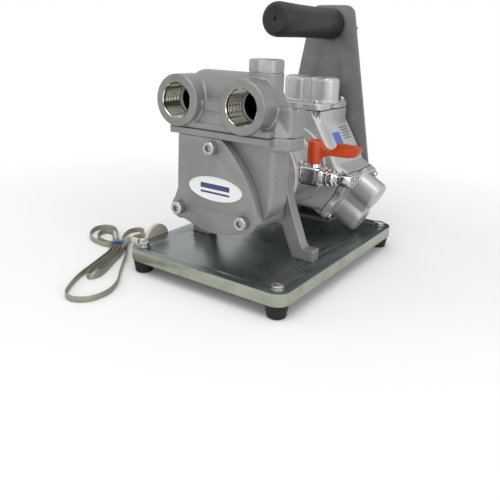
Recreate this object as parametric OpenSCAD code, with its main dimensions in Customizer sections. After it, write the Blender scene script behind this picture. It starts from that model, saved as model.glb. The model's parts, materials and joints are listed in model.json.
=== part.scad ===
// Portable oil transfer pump: a trochoid gear pump driven by a three-cylinder
// air motor, on a base plate with rubber feet and a carrying handle.
// X runs across the plate, Y runs from the pump to the handle, Z runs up.
// The origin lies on the floor below the middle of the plate.

/* [Base plate] */
// Width of the base plate
plate_w = 186; // [180:1:200]
// Depth of the base plate
plate_d = 256; // [250:1:280]
// Thickness of the base plate
plate_t = 12; // [10:0.5:16]
// Corner radius of the base plate
plate_corner_r = 13.5; // [6:0.5:20]

/* [Feet] */
// Height of the rubber feet
foot_h = 14; // [10:0.5:25]
// Radius of a foot where it meets the plate
foot_top_r = 11.3; // [10:0.1:14]
// Radius of a foot at the floor
foot_bottom_r = 9.1; // [8:0.1:10]
// Distance of a foot's axis from the plate's edges
foot_inset = 12.5; // [11.5:0.5:16]
// Diameter of the foot screws
foot_screw_d = 6; // [5:0.5:8]

/* [Stand] */
// Height of the shaft line above the plate
shaft_h = 77; // [76:0.5:84]
// Front face of the stand
stand_y = -43.5; // [-46:0.5:-42]
// Thickness of the stand
stand_t = 12.5; // [11:0.5:16]
// Radius of the round flange that joins the pump and the motor
flange_r = 45; // [45:0.5:46]
// Half the distance across the toes
toe_outer_x = 76; // [74:0.5:82]
// Half the distance between the legs at the plate
toe_inner_x = 52; // [50:0.5:54]
// Height of a toe
toe_h = 12; // [9:0.5:16]
// Diameter of the screws that hold the stand
stand_screw_d = 6; // [5:0.5:8]

/* [Rotors] */
// Number of lobes on the inner rotor
rotor_lobes = 6; // [5:1:7]
// Distance between the two rotor axes
rotor_ecc = 2.8; // [2.4:0.1:2.9]
// Radius of the circle that the outer rotor's lobes stand on
lobe_circle_r = 28; // [27:0.5:28.5]
// Radius of one lobe of the outer rotor
lobe_r = 7.5; // [6.5:0.1:7.8]
// Outer radius of the outer rotor
ring_r = 32.5; // [32:0.25:33.5]
// Width of both rotors
rotor_w = 24; // [16:0.5:26]
// Clearance between the rotors' flanks
rotor_gap = 0.12; // [0.08:0.01:0.2]
// Diameter of the pump shaft
shaft_d = 16; // [13:0.5:18]

/* [Pump body and cover] */
// Thickness of the front cover
cover_t = 10; // [8:0.5:14]
// Thickness of the cover gasket
gasket_t = 0.5; // [0.3:0.1:1]
// Depth of the full front part of the pump body
bowl_depth = 28.5; // [27:0.5:31]
// Radius of the pump body's round bottom
bowl_r = 30; // [28:0.5:32]
// Right-hand side of the pump body
body_right_x = 57; // [57:0.5:60]
// Left-hand side of the pump body
body_left_x = 50; // [50:0.5:54]
// Height of the joint between body and manifold above the shaft line
seam_h = 50.5; // [49:0.5:54]
// Thickness of the flange on each side of that joint
seam_flange_t = 6.5; // [5:0.5:9]
// Diameter of the cover screws
cover_screw_d = 8; // [6:0.5:8.5]
// Width of the oval badge
badge_w = 62; // [50:1:64]
// Height of the oval badge
badge_h = 23; // [18:0.5:26]
// Thickness of the oval badge
badge_t = 1; // [0.6:0.1:2]

/* [Manifold] */
// Sideways place of the left port
port_left_x = -45; // [-47:0.5:-43]
// Sideways place of the right port
port_right_x = 30; // [28:0.5:32]
// Outer radius of the port necks
port_r = 25; // [24:0.25:26]
// Radius of the threaded port bores
port_bore_r = 16.5; // [14:0.25:17]
// Depth of the port threads
port_thread_l = 24; // [18:0.5:26]
// How far the ports stand out beyond the cover
port_proud = 4; // [2:0.5:12]
// Height of the port axes above the joint
port_h = 25.5; // [25.5:0.5:28]
// Reach of the bolt ear from the middle
ear_x = 70; // [68:0.5:72]
// Height of the bolt ear above the joint
ear_h = 26; // [20:0.5:28]
// Diameter of the manifold screws
manifold_screw_d = 8; // [6:0.5:8]

/* [Relief valve] */
// Width across the flats of the relief cap
cap_af = 30; // [28:0.5:32]
// Height of the relief cap's hexagon
cap_h = 11; // [10:0.5:16]
// Height of the round boss under the relief cap
cap_boss_h = 1; // [1:0.5:8]
// Travel of the relief poppet
poppet_travel = 4; // [2:0.5:4.5]
// Wire diameter of the relief spring
spring_wire_d = 1.6; // [1.2:0.1:1.8]
// Turns of the relief spring
spring_turns = 5; // [3:1:5]

/* [Air motor] */
// Length of the front housing between the stand and the crankcase
housing_l = 69; // [68:0.5:76]
// Outer radius of the front housing
housing_r = 33; // [32.5:0.25:33.5]
// Length of the crankcase
crankcase_l = 74; // [74:0.5:80]
// Distance of the crankcase's flat faces from the crank axis
crankcase_flat_r = 50; // [49:0.5:52]
// Distance of the barrels' ends from the crank axis
barrel_end_r = 60.3; // [59:0.1:61]
// Half the width of a barrel
barrel_half_w = 31; // [31:0.25:33]
// Thickness of a head gasket
head_gasket_t = 0.7; // [0.5:0.1:1.2]
// Thickness of a head's flange
head_flange_t = 7; // [6:0.5:9]
// Distance of the domes' ends from the crank axis
dome_end_r = 96; // [92:0.5:97]
// Radius of one dome
dome_r = 14.5; // [12:0.25:15]
// Half the distance between a head's two domes
dome_offset = 18.5; // [16:0.25:18.5]
// Rounding of the domes' ends
dome_round = 4; // [2:0.5:6]
// Half the width between the head screws
head_screw_w = 23.2; // [22:0.1:25]
// Half the depth between the head screws
head_screw_d_half = 32.6; // [31:0.1:33]

/* [Air inlet] */
// Drop of the inlet axis below the shaft line
inlet_drop = 1; // [0:0.5:3]
// Place of the inlet axis along the shaft line
inlet_y = 3; // [0:0.5:5]
// Distance of the ball valve's middle from the shaft line
valve_x = 47.5; // [47:0.25:49]
// Length and width of the valve body
valve_w = 20; // [19:0.5:21]
// Radius of the valve's ball
ball_r = 7.5; // [7:0.1:8]
// Radius of the air way
air_bore_r = 4; // [3:0.25:4.5]
// Radius of the lever's hub
hub_r = 8; // [7:0.25:9]
// Height of the lever's hub
hub_h = 24; // [22:0.5:26]
// Reach of the lever from its hinge
lever_reach = 50.5; // [44:0.5:51.5]
// Thickness of the lever's arm
lever_t = 9; // [6:0.5:9]
// Length of the quick plug
plug_l = 34; // [28:0.5:40]
// Radius of the quick plug's nose
plug_r = 6; // [5:0.1:7]

/* [Handle] */
// Height of the bracket's top above the plate
bracket_h = 255; // [245:1:275]
// Thickness of the bracket plate
bracket_t = 4; // [3:0.25:5]
// Half the width of the bracket at its top
bracket_top_half_w = 26.5; // [24:0.5:30]
// Half the width that the bracket gains per millimetre downwards
bracket_flare = 0.18; // [0.1:0.01:0.2]
// Radius of the grip
grip_r = 18; // [14:0.5:20]
// Length of the grip
grip_l = 127; // [110:1:130]
// Drop of the grip's axis below the bracket's top
grip_drop = 22; // [20:0.5:28]
// Diameter of the bolt through the grip
handle_bolt_d = 10; // [8:0.5:12]

/* [Bonding strap] */
// Width of the flat braid
strap_w = 6; // [6:0.5:6]
// Thickness of the flat braid
strap_t = 1.4; // [1.2:0.1:1.5]
// Radius of the magnet
magnet_r = 17.5; // [14:0.5:19]
// Thickness of the magnet
magnet_t = 5; // [4:0.5:5.5]

/* [Hidden] */
$fn = 64;

// Clearances
fit = 0.05;
slip = 0.3;
screw_slip = 0.3;
eps = 0.01;

// Heights
plate_top = foot_h + plate_t;
shaft_z = plate_top + shaft_h;
ring_z = shaft_z - rotor_ecc;
seam_z = shaft_z + seam_h;
port_z = seam_z + port_h;
inlet_z = shaft_z - inlet_drop;

// Places along the shaft line
stand_back_y = stand_y + stand_t;
bowl_back_y = stand_y - 22.5;
body_front_y = bowl_back_y - bowl_depth;
cover_back_y = body_front_y - gasket_t;
cover_front_y = cover_back_y - cover_t;
port_face_y = cover_front_y - port_proud;
pocket_floor_y = cover_back_y + rotor_w + 2 * fit;
housing_end_y = stand_back_y + housing_l;
crankcase_end_y = housing_end_y + crankcase_l;
rear_cover_t = 3;
bracket_y = crankcase_end_y + rear_cover_t;
bracket_back_y = bracket_y + bracket_t;
crank_y = housing_end_y + crankcase_l / 2;

foot_x = plate_w / 2 - foot_inset;
foot_y = plate_d / 2 - foot_inset;
foot_places = [for (sx = [-1, 1], sy = [-1, 1]) [sx * foot_x, sy * foot_y]];

// ---- Helpers ---------------------------------------------------------------

// A rod along each axis
module rod_x(y, z, x0, x1, r) {
    translate([x0, y, z]) rotate([0, 90, 0]) cylinder(r = r, h = x1 - x0);
}

module rod_y(x, z, y0, y1, r) {
    translate([x, y0, z]) rotate([-90, 0, 0]) cylinder(r = r, h = y1 - y0);
}

module rod_z(x, y, z0, z1, r) {
    translate([x, y, z0]) cylinder(r = r, h = z1 - z0);
}

// A box between two corners
module block(lo, hi) {
    translate(lo) cube(hi - lo);
}

// A flat shape drawn in X and Z, between two places along Y
module slab_y(y0, y1) {
    translate([0, y1, 0]) rotate([90, 0, 0]) linear_extrude(height = y1 - y0) children();
}

// A profile of radius and distance, turned about a line along Y
module turned_y(x, z) {
    translate([x, 0, z]) rotate([-90, 0, 0]) rotate_extrude() children();
}

// The same about a line along X
module turned_x(y, z) {
    translate([0, y, z]) rotate([0, 90, 0]) rotate_extrude() children();
}

module rounded_rect(w, d, r) {
    square([w - 2 * r, d], center = true);
    square([w, d - 2 * r], center = true);
    for (sx = [-1, 1], sy = [-1, 1])
        translate([sx * (w / 2 - r), sy * (d / 2 - r)]) circle(r = r);
}

module hexagon(af) {
    rotate(30) circle(d = af / cos(30), $fn = 6);
}

// A socket head screw that points along -Z, with the underside of its head at 0
module socket_screw(d, l, head_r = 0, head_h = 0) {
    hr = head_r > 0 ? head_r : 0.8125 * d;
    hh = head_h > 0 ? head_h : d;
    difference() {
        union() {
            rotate_extrude() polygon([[0, 0], [hr, 0], [hr, hh - 0.08 * d],
                [hr - 0.08 * d, hh], [0, hh]]);
            translate([0, 0, -l]) cylinder(d = d, h = l + eps);
        }
        translate([0, 0, hh - 0.5 * d]) linear_extrude(height = d) hexagon(0.75 * d);
    }
}

// A tube through a list of closed rings, each with the same number of points
module skin(rings) {
    n = len(rings);
    m = len(rings[0]);
    sides = [for (i = [0:n - 2], k = [0:m - 1]) let (a = i * m + k, b = i * m + (k + 1) % m)
        each [[a, a + m, b], [b, a + m, b + m]]];
    near_end = [for (k = [1:m - 2]) [0, k, k + 1]];
    far_end = [for (k = [1:m - 2]) [(n - 1) * m, (n - 1) * m + k + 1, (n - 1) * m + k]];
    polyhedron(points = [for (ring = rings) each ring], faces = concat(sides, near_end, far_end));
}

// ---- Base ------------------------------------------------------------------

stand_screw_x = [toe_inner_x + 6, toe_outer_x - 6];
stand_screw_y = stand_y + stand_t / 2;
plate_head_h = 6.5;
bracket_foot_half_w = 30;
bracket_foot_l = 34;
bracket_foot_y = bracket_y - bracket_foot_l / 2;

module base_plate() {
    color("lightslategray") difference() {
        translate([0, 0, foot_h]) linear_extrude(height = plate_t)
            rounded_rect(plate_w, plate_d, plate_corner_r);
        for (p = foot_places)
            rod_z(p[0], p[1], foot_h - 1, plate_top + 1, foot_screw_d / 2 + screw_slip);
        for (x = stand_screw_x, s = [-1, 1]) {
            rod_z(s * x, stand_screw_y, foot_h - 1, plate_top + 1, stand_screw_d / 2 + screw_slip);
            rod_z(s * x, stand_screw_y, foot_h - 1, foot_h + plate_head_h, stand_screw_d * 0.8125 + slip);
        }
        for (s = [-1, 1])
            rod_z(s * bracket_foot_screw_x, bracket_foot_y, foot_h - 1, plate_top + 1, bracket_screw_d / 2);
    }
}

foot_round = 2.5;
foot_bore_l = 9;

module rubber_feet() {
    color([0.08, 0.08, 0.08]) for (p = foot_places) translate([p[0], p[1], 0]) difference() {
        rotate_extrude() {
            polygon([[0, 0], [foot_bottom_r - foot_round, 0], [foot_bottom_r - 0.2, foot_round],
                [foot_top_r, foot_h], [0, foot_h]]);
            translate([foot_bottom_r - foot_round, foot_round]) circle(r = foot_round, $fn = 32);
        }
        translate([0, 0, foot_h - foot_bore_l]) cylinder(d = foot_screw_d + 2 * fit, h = foot_h);
    }
}

washer_t = 1.2;
lug_t = 1.2;
function is_lug_corner(p) = p[0] < 0 && p[1] < 0;
function washer_z(p) = plate_top + (is_lug_corner(p) ? lug_t : 0);

module foot_washers() {
    color("silver") for (p = foot_places) difference() {
        rod_z(p[0], p[1], washer_z(p), washer_z(p) + washer_t, foot_screw_d * 1.1);
        rod_z(p[0], p[1], plate_top - 1, plate_top + 9, foot_screw_d / 2 + screw_slip);
    }
}

// Pan heads with a cross recess
module foot_screws() {
    head_r = foot_screw_d * 0.92;
    head_h = foot_screw_d * 0.6;
    color("silver") for (p = foot_places) translate([p[0], p[1], washer_z(p) + washer_t]) difference() {
        union() {
            intersection() {
                cylinder(r = head_r, h = head_h);
                translate([0, 0, head_h - 2.2 * head_r]) sphere(r = 2.2 * head_r);
            }
            screw_l = washer_z(p) + washer_t - (foot_h - foot_bore_l) - 1;
            translate([0, 0, -screw_l]) cylinder(d = foot_screw_d, h = screw_l + eps);
        }
        for (a = [0, 90])
            rotate(a) translate([0, 0, head_h]) cube([head_r, foot_screw_d * 0.2, head_h], center = true);
    }
}

// ---- Stand -----------------------------------------------------------------

leg_top_outer_x = 40.5;
leg_knee_x = 47;
leg_knee_z = plate_top + 54;
leg_foot_x = 62;
leg_foot_z = plate_top + 16;
arch_x = 38.5;
arch_z = plate_top + 31;
flange_screw_circle_r = 39.3;
flange_screw_d = 6;
flange_thread_l = 10;
flange_screw_angles = [45, 135, 225, 315];
rear_flange_angles = [0, 90, 180, 270];
coupling_room_r = 24;
stand_thread_l = min(toe_h - 3, 9);

leg_side = [[toe_outer_x, plate_top], [toe_outer_x, plate_top + toe_h], [leg_foot_x + 3, plate_top + toe_h],
    [leg_foot_x, leg_foot_z], [leg_knee_x, leg_knee_z], [leg_top_outer_x + 2, shaft_z - 9],
    [leg_top_outer_x, shaft_z + 10]];

module stand_outline() {
    n = len(leg_side);
    polygon(concat(leg_side, [for (i = [n - 1:-1:0]) [-leg_side[i][0], leg_side[i][1]]]));
    translate([0, shaft_z]) circle(r = flange_r);
}

module pump_stand() {
    color("silver") difference() {
        slab_y(stand_y, stand_back_y) difference() {
            stand_outline();
            polygon([[-toe_inner_x, plate_top - 1], [toe_inner_x, plate_top - 1],
                [toe_inner_x, plate_top], [arch_x, arch_z], [-arch_x, arch_z],
                [-toe_inner_x, plate_top]]);
            intersection() {
                translate([0, arch_z - 100]) square([2 * arch_x, 220], center = true);
                translate([0, arch_z - arch_x * 1.55]) circle(r = arch_x * 1.66);
            }
        }
        rod_y(0, shaft_z, stand_y - 1, stand_back_y + 1, coupling_room_r);
        for (a = flange_screw_angles) flange_hole(a, stand_y - 1, stand_back_y + 1, screw_slip);
        for (x = stand_screw_x, s = [-1, 1])
            rod_z(s * x, stand_screw_y, plate_top - 1, plate_top + stand_thread_l + 1, stand_screw_d / 2);
    }
}

module flange_hole(a, y0, y1, gap) {
    rod_y(flange_screw_circle_r * cos(a), shaft_z + flange_screw_circle_r * sin(a), y0, y1,
        flange_screw_d / 2 + gap);
}

module stand_screws() {
    color("dimgray") for (x = stand_screw_x, s = [-1, 1])
        translate([s * x, stand_screw_y, foot_h + plate_head_h]) rotate([180, 0, 0])
            socket_screw(stand_screw_d, plate_t - plate_head_h + stand_thread_l);
}

// ---- Pump body -------------------------------------------------------------

bowl_z = shaft_z - 6;
seam_front_y = cover_front_y;
seam_back_y = stand_y - 1;
seam_left_x = body_left_x + 6;
web_right_x = 42;
web_left_x = 47;
way_x = 30;
way_y = stand_y - 19.8;
way_r = 7;
way_wall = 4;
kidney_y = pocket_floor_y + 9;
kidney_in_r = 15.5;
kidney_out_r = 26.5;
bush_r = 11.5;
seal_r = 14;
seal_l = 6;
body_bore_r = shaft_d / 2 + 1;

cover_screw_places = [[-3, shaft_z + 35.5], [-41, shaft_z - 29], [35, shaft_z - 29]];
cover_screw_in = 20;
ear_front_y = stand_y - 44.5;
ear_back_y = bowl_back_y;
ear_drop = 12;
ear_round = 3.5;
ear_bolt = [ear_x - 9, (ear_front_y + ear_back_y) / 2];
rear_screw_places = [[-40, stand_y - 7], [-12, stand_y - 7], [12, stand_y - 7]];
manifold_screw_places = concat([ear_bolt], rear_screw_places);
manifold_thread_l = 12;

// Shallow round bottom with a round corner on the right, the same in the cover and the bowl
bottom_z = shaft_z - 47.6;
cover_corner = [35, shaft_z - 27];
cover_corner_r = 13;

module bottom_outline() {
    x = cover_corner[0];
    z = cover_corner[1];
    translate(cover_corner) circle(r = cover_corner_r);
    polygon([[-x, z], [-x - 3, z - cover_corner_r + 0.4], [-14, bottom_z + 1.4], [0, bottom_z],
        [14, bottom_z + 1.4], [x + 3, z - cover_corner_r + 0.4], [x, z]]);
}

module body_outline() {
    translate([-body_left_x, bowl_z]) square([body_left_x + body_right_x, seam_z - bowl_z]);
    for (x = [bowl_r - body_left_x, body_right_x - bowl_r]) translate([x, bowl_z]) circle(r = bowl_r);
    translate([-cover_corner[0], cover_corner[1]]) circle(r = cover_corner_r);
    translate([-cover_corner[0], cover_corner[1] - 1])
        square([2 * cover_corner[0], bowl_z - cover_corner[1] + 2]);
    bottom_outline();
}

// One side's kidney recess, as a sector of a ring
module kidney(side) {
    translate([0, ring_z]) intersection() {
        difference() {
            circle(r = kidney_out_r);
            circle(r = kidney_in_r);
        }
        polygon([[0, 0], [side * 60, -70], [side * 60, 70]]);
    }
}

module pump_body() {
    color([0.62, 0.63, 0.62]) difference() {
        union() {
            slab_y(body_front_y, bowl_back_y) body_outline();
            rod_y(0, shaft_z, bowl_back_y - 1, stand_y, flange_r - 1);
            slab_y(bowl_back_y - 1, stand_y - 1) intersection() {
                body_outline();
                translate([-web_left_x, 0]) square([web_left_x + web_right_x, seam_z - 1]);
            }
            flange_block(seam_z - seam_flange_t, seam_z);
            ear(seam_z - ear_drop, seam_z);
        }
        body_edge_cuts();
        rod_y(0, ring_z, body_front_y - 1, pocket_floor_y, ring_r + fit);
        for (side = [-1, 1]) {
            slab_y(pocket_floor_y - 1, kidney_y) kidney(side);
            rod_z(side * way_x, way_y, ring_z - 5, seam_z + 1, way_r);
        }
        rod_y(0, shaft_z, pocket_floor_y - 1, stand_y + 1, body_bore_r);
        rod_y(0, shaft_z, kidney_y - 6, stand_y - 10, bush_r);
        rod_y(0, shaft_z, stand_y - seal_l, stand_y + 1, seal_r);
        for (p = cover_screw_places)
            rod_y(p[0], p[1], body_front_y - 1, body_front_y + cover_screw_in, cover_screw_d / 2);
        for (p = manifold_screw_places)
            rod_z(p[0], p[1], seam_z - manifold_thread_l - 2, seam_z + 1, manifold_screw_d / 2);
        for (a = flange_screw_angles) flange_hole(a, stand_y - flange_thread_l - 2, stand_y + 1, 0);
    }
}

// Bevels on the upright front edges of the bowl
module body_edge_cuts() {
    for (x = [-body_left_x, body_right_x]) translate([x, body_front_y, bowl_z]) rotate([0, 0, 45])
        cube([4, 4, 2 * (seam_z - bowl_z - seam_flange_t)], center = true);
}

// Outline of the cover: a boss at each lower screw, a shallow round bottom and a long bowed right side
cover_top_z = seam_z - seam_flange_t - slip;
cover_left_x = 45;
cover_boss_r = 11.5;
bow_r = 111.5;
bow_at = [-60.7, shaft_z - 45.9];

module cover_outline() {
    left_boss = cover_screw_places[1];
    difference() {
        intersection() {
            union() {
                translate([-cover_left_x, left_boss[1]])
                    square([cover_left_x + 60, cover_top_z - left_boss[1]]);
                translate(left_boss) circle(r = cover_boss_r);
                bottom_outline();
                polygon([[-52.3, left_boss[1]], [-cover_left_x + 5, left_boss[1]],
                    [-cover_left_x + 5, left_boss[1] + 19], [-cover_left_x, left_boss[1] + 19]]);
            }
            translate(bow_at) circle(r = bow_r, $fn = 160);
        }
        children();
    }
}

module screw_holes_2d(gap) {
    for (p = cover_screw_places) translate(p) circle(d = cover_screw_d + 2 * gap);
}

module cover_gasket() {
    color([0.25, 0.3, 0.28]) slab_y(cover_back_y, body_front_y) intersection() {
        cover_outline() {
            screw_holes_2d(screw_slip);
            translate([0, ring_z]) circle(r = ring_r + fit);
        }
        body_outline();
    }
}

bush_l = 6.5;

module front_cover() {
    color([0.6, 0.61, 0.6]) difference() {
        slab_y(cover_front_y, cover_back_y) cover_outline() screw_holes_2d(screw_slip);
        rod_y(0, shaft_z, cover_back_y - bush_l, cover_back_y + 1, bush_r);
        for (side = [-1, 1]) slab_y(cover_back_y - 2, cover_back_y + 1) kidney(side);
    }
}

module cover_screws() {
    color("silver") for (p = cover_screw_places) translate([p[0], cover_front_y, p[1]])
        rotate([90, 0, 0]) socket_screw(cover_screw_d, cover_t + gasket_t + cover_screw_in - 3);
}

module badge_plate() {
    color([0.9, 0.9, 0.88]) slab_y(cover_front_y - badge_t, cover_front_y)
        translate([1, shaft_z - 3.5])
            polygon([for (a = [0:7.5:352.5]) [badge_w / 2 * cos(a), badge_h / 2 * sin(a)]]);
}

// ---- Rotors and shaft ------------------------------------------------------

ring_lobes = rotor_lobes + 1;

// One point of the curve that the ring's lobes leave on the inner rotor
function rotor_point(t) = let (
        a = atan2(sin(-rotor_lobes * t), lobe_circle_r / (rotor_ecc * ring_lobes) - cos(-rotor_lobes * t)),
        r = lobe_r + rotor_gap
    )
    [lobe_circle_r * cos(t) - r * cos(t + a) - rotor_ecc * cos(ring_lobes * t),
     -lobe_circle_r * sin(t) + r * sin(t + a) + rotor_ecc * sin(ring_lobes * t)];

// The same at equal steps of u, which lie closer together in the valleys, where the curve is tight
valley_share = 0.6;
function rotor_step(u) = rotor_point(u - valley_share * sin(rotor_lobes * u) / rotor_lobes * 180 / PI);

key_w = 5;
key_h = 5;
key_l = 20;
key_y = cover_back_y + fit + (rotor_w - key_l) / 2;

module key_slot(gap) {
    block([-key_w / 2 - gap, key_y - 20, shaft_z + shaft_d / 2 - key_h / 2],
        [key_w / 2 + gap, key_y + key_l + 20, shaft_z + shaft_d / 2 + key_h / 2 + gap]);
}

module inner_rotor() {
    color("slategray") difference() {
        slab_y(cover_back_y + fit, cover_back_y + fit + rotor_w) translate([0, shaft_z]) rotate(90)
            polygon([for (i = [0:rotor_lobes * 24 - 1]) rotor_step(i * 360 / (rotor_lobes * 24))]);
        rod_y(0, shaft_z, cover_back_y - 1, pocket_floor_y + 1, shaft_d / 2);
        key_slot(0);
    }
}

module outer_rotor() {
    root_r = lobe_circle_r - lobe_r + 2 * rotor_ecc;
    color("gray") slab_y(cover_back_y + fit, cover_back_y + fit + rotor_w) translate([0, ring_z])
        intersection() {
            circle(r = ring_r, $fn = 128);
            union() {
                difference() {
                    circle(r = ring_r + 1);
                    circle(r = root_r, $fn = 128);
                }
                for (i = [0:ring_lobes - 1])
                    rotate(90 + i * 360 / ring_lobes) translate([lobe_circle_r, 0]) circle(r = lobe_r);
            }
        }
}

pump_shaft_front_y = cover_back_y - bush_l + 0.5;
pump_shaft_back_y = stand_back_y + 6;
hub_outer_r = 19;
hub_l = 11;
jaw_l = 9;
coupling_gap = 0.5;
pump_hub_y = pump_shaft_back_y - hub_l;
jaw_front_y = pump_shaft_back_y + coupling_gap;
motor_hub_y = jaw_front_y + jaw_l + coupling_gap;
motor_shaft_d = 14;
motor_bearing_r = 19;
motor_bearing_l = 11;
bearing_end_y = housing_end_y - 1;
motor_shaft_end_y = housing_end_y + 3;

module drive_shaft() {
    color("silver") difference() {
        rod_y(0, shaft_z, pump_shaft_front_y, pump_shaft_back_y, shaft_d / 2);
        block([-key_w / 2, key_y, shaft_z + shaft_d / 2 - key_h / 2],
            [key_w / 2, key_y + key_l, shaft_z + shaft_d]);
    }
}

module rotor_key() {
    color("dimgray") block([-key_w / 2, key_y, shaft_z + shaft_d / 2 - key_h / 2],
        [key_w / 2, key_y + key_l, shaft_z + shaft_d / 2 + key_h / 2]);
}

module bush(y0, y1) {
    color("peru") difference() {
        rod_y(0, shaft_z, y0, y1, bush_r);
        rod_y(0, shaft_z, y0 - 1, y1 + 1, shaft_d / 2 + fit);
    }
}

module front_bush() {
    bush(cover_back_y - bush_l, cover_back_y);
}

module rear_bush() {
    bush(kidney_y - 6, stand_y - 10);
}

// Lip seal: a case with a groove for its garter spring
module shaft_seal() {
    color([0.15, 0.12, 0.1]) difference() {
        rod_y(0, shaft_z, stand_y - seal_l, stand_y, seal_r);
        rod_y(0, shaft_z, stand_y - seal_l - 1, stand_y + 1, shaft_d / 2 + fit);
        difference() {
            rod_y(0, shaft_z, stand_y - 3, stand_y + 1, seal_r - 2);
            rod_y(0, shaft_z, stand_y - 4, stand_y + 2, shaft_d / 2 + 1.5);
        }
    }
}

// A sector of a ring between two angles, under 180 degrees apart
module sector(r0, r1, a0, a1) {
    intersection() {
        difference() {
            circle(r = r1);
            circle(r = r0);
        }
        polygon([[0, 0], 2 * r1 * [cos(a0), sin(a0)], 3 * r1 * [cos((a0 + a1) / 2), sin((a0 + a1) / 2)],
            2 * r1 * [cos(a1), sin(a1)]]);
    }
}

jaw_in_r = 9.5;
jaw_half_angle = 21;

module jaws(start) {
    for (i = [0:2])
        sector(jaw_in_r, hub_outer_r, start + 120 * i - jaw_half_angle, start + 120 * i + jaw_half_angle);
}

module pump_hub() {
    color("gray") difference() {
        union() {
            rod_y(0, shaft_z, pump_hub_y, pump_shaft_back_y, hub_outer_r);
            slab_y(pump_shaft_back_y - eps, jaw_front_y + jaw_l) translate([0, shaft_z]) jaws(90);
        }
        rod_y(0, shaft_z, pump_hub_y - 1, jaw_front_y + jaw_l + 1, shaft_d / 2);
    }
}

module motor_hub() {
    color("gray") difference() {
        union() {
            rod_y(0, shaft_z, motor_hub_y, motor_hub_y + hub_l, hub_outer_r);
            slab_y(jaw_front_y, motor_hub_y + eps) translate([0, shaft_z]) jaws(30);
        }
        rod_y(0, shaft_z, jaw_front_y - 1, motor_hub_y + hub_l + 1, motor_shaft_d / 2);
    }
}

module coupling_spider() {
    leg_half_angle = 30 - jaw_half_angle;
    color("firebrick") slab_y(jaw_front_y, jaw_front_y + jaw_l) translate([0, shaft_z]) difference() {
        union() {
            circle(r = jaw_in_r);
            for (i = [0:5])
                sector(jaw_in_r - 1, hub_outer_r - 1, 60 * i - leg_half_angle, 60 * i + leg_half_angle);
        }
        circle(r = jaw_in_r - 4);
    }
}

module motor_shaft() {
    color("silver") rod_y(0, shaft_z, motor_hub_y, motor_shaft_end_y, motor_shaft_d / 2);
}

// Sealed ball bearing, shown as its closed ring
module motor_bearing() {
    color("silver") difference() {
        rod_y(0, shaft_z, bearing_end_y - motor_bearing_l, bearing_end_y, motor_bearing_r);
        rod_y(0, shaft_z, bearing_end_y - motor_bearing_l - 1, bearing_end_y + 1,
            motor_shaft_d / 2 + fit);
        for (y = [bearing_end_y - motor_bearing_l, bearing_end_y]) difference() {
            rod_y(0, shaft_z, y - 0.5, y + 0.5, motor_bearing_r - 4);
            rod_y(0, shaft_z, y - 1, y + 1, motor_shaft_d / 2 + 3);
        }
    }
}

// ---- Manifold --------------------------------------------------------------

manifold_z = seam_z + gasket_t;
manifold_flange_top = seam_z + seam_flange_t;
ear_seat_z = seam_z + ear_h - manifold_screw_d - 1;
cross_r = 24;
cross_y = stand_y - 28;
cross_z = port_z + 5;
cross_left_x = 52;
cross_right_x = 32;
neck_back_y = stand_y - 41.5;
chamber_r = port_bore_r - 3;
chamber_end_y = stand_y - 19.5;
chamber_wall = 5;
cap_x = port_right_x;
cap_y = stand_y - 26.5;
cap_boss_r = cap_af / 2 + 1.5;
cap_seat_z = cross_z + cross_r + cap_boss_h;
relief_bore_r = 10;
relief_seat_z = port_z + 18.5;
bypass_r = 3;

module port_neck(x) {
    r = chamber_r + chamber_wall;
    turned_y(x, port_z) polygon([[0, port_face_y], [port_r - 1, port_face_y], [port_r, port_face_y + 1],
        [port_r, neck_back_y], [r, neck_back_y + 5], [r, chamber_end_y + chamber_wall - 3],
        [r - 3, chamber_end_y + chamber_wall], [0, chamber_end_y + chamber_wall]]);
}

module port_bore(x) {
    turned_y(x, port_z) polygon([[0, port_face_y - 1], [port_bore_r + 2.5, port_face_y - 1],
        [port_bore_r, port_face_y + 1.5], [port_bore_r, port_face_y + port_thread_l],
        [chamber_r, port_face_y + port_thread_l + 1.5], [chamber_r, chamber_end_y], [0, chamber_end_y]]);
}

// Round bar across the back of the ports, with well rounded ends
module cross_bar() {
    end_r = cross_r - 10;
    turned_x(cross_y, cross_z) intersection() {
        union() {
            translate([0, end_r - cross_left_x]) square([cross_r, cross_left_x + cross_right_x - 2 * end_r]);
            translate([0, -cross_left_x]) square([cross_r - end_r, cross_left_x + cross_right_x]);
            for (x = [end_r - cross_left_x, cross_right_x - end_r])
                translate([cross_r - end_r, x]) circle(r = end_r);
        }
        translate([0, -cross_left_x - 1]) square([cross_r + 1, cross_left_x + cross_right_x + 2]);
    }
}

module flange_block(z0, z1) {
    block([-seam_left_x, seam_front_y, z0], [body_right_x, seam_back_y, z1]);
}

// Ear on the right side of the flanges, which carries the tall bolt
module ear(z0, z1) {
    x0 = cap_x + cap_af / 2;
    translate([(x0 + ear_x) / 2, (ear_front_y + ear_back_y) / 2, z0]) linear_extrude(height = z1 - z0)
        rounded_rect(ear_x - x0, ear_back_y - ear_front_y, ear_round);
}

// Stepped web beside the left neck
module neck_step(i) {
    block([port_left_x + 17 + 4 * i, cross_y - 24 + 2 * i, port_z - 4.5],
        [port_right_x - 39, cross_y, port_z + 4 + 2.5 * i]);
}

module manifold_solid() {
    flange_block(manifold_z, manifold_flange_top);
    for (x = [port_left_x, port_right_x]) port_neck(x);
    cross_bar();
    block([-cross_left_x + 7, cross_y - 17, manifold_z],
        [way_x + way_r + way_wall, way_y + way_r + way_wall, cross_z]);
    rod_z(cap_x, cap_y, port_z, cap_seat_z, cap_boss_r);
    ear(manifold_z, seam_z + ear_h);
    neck_step(0);
    neck_step(1);
}

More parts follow.
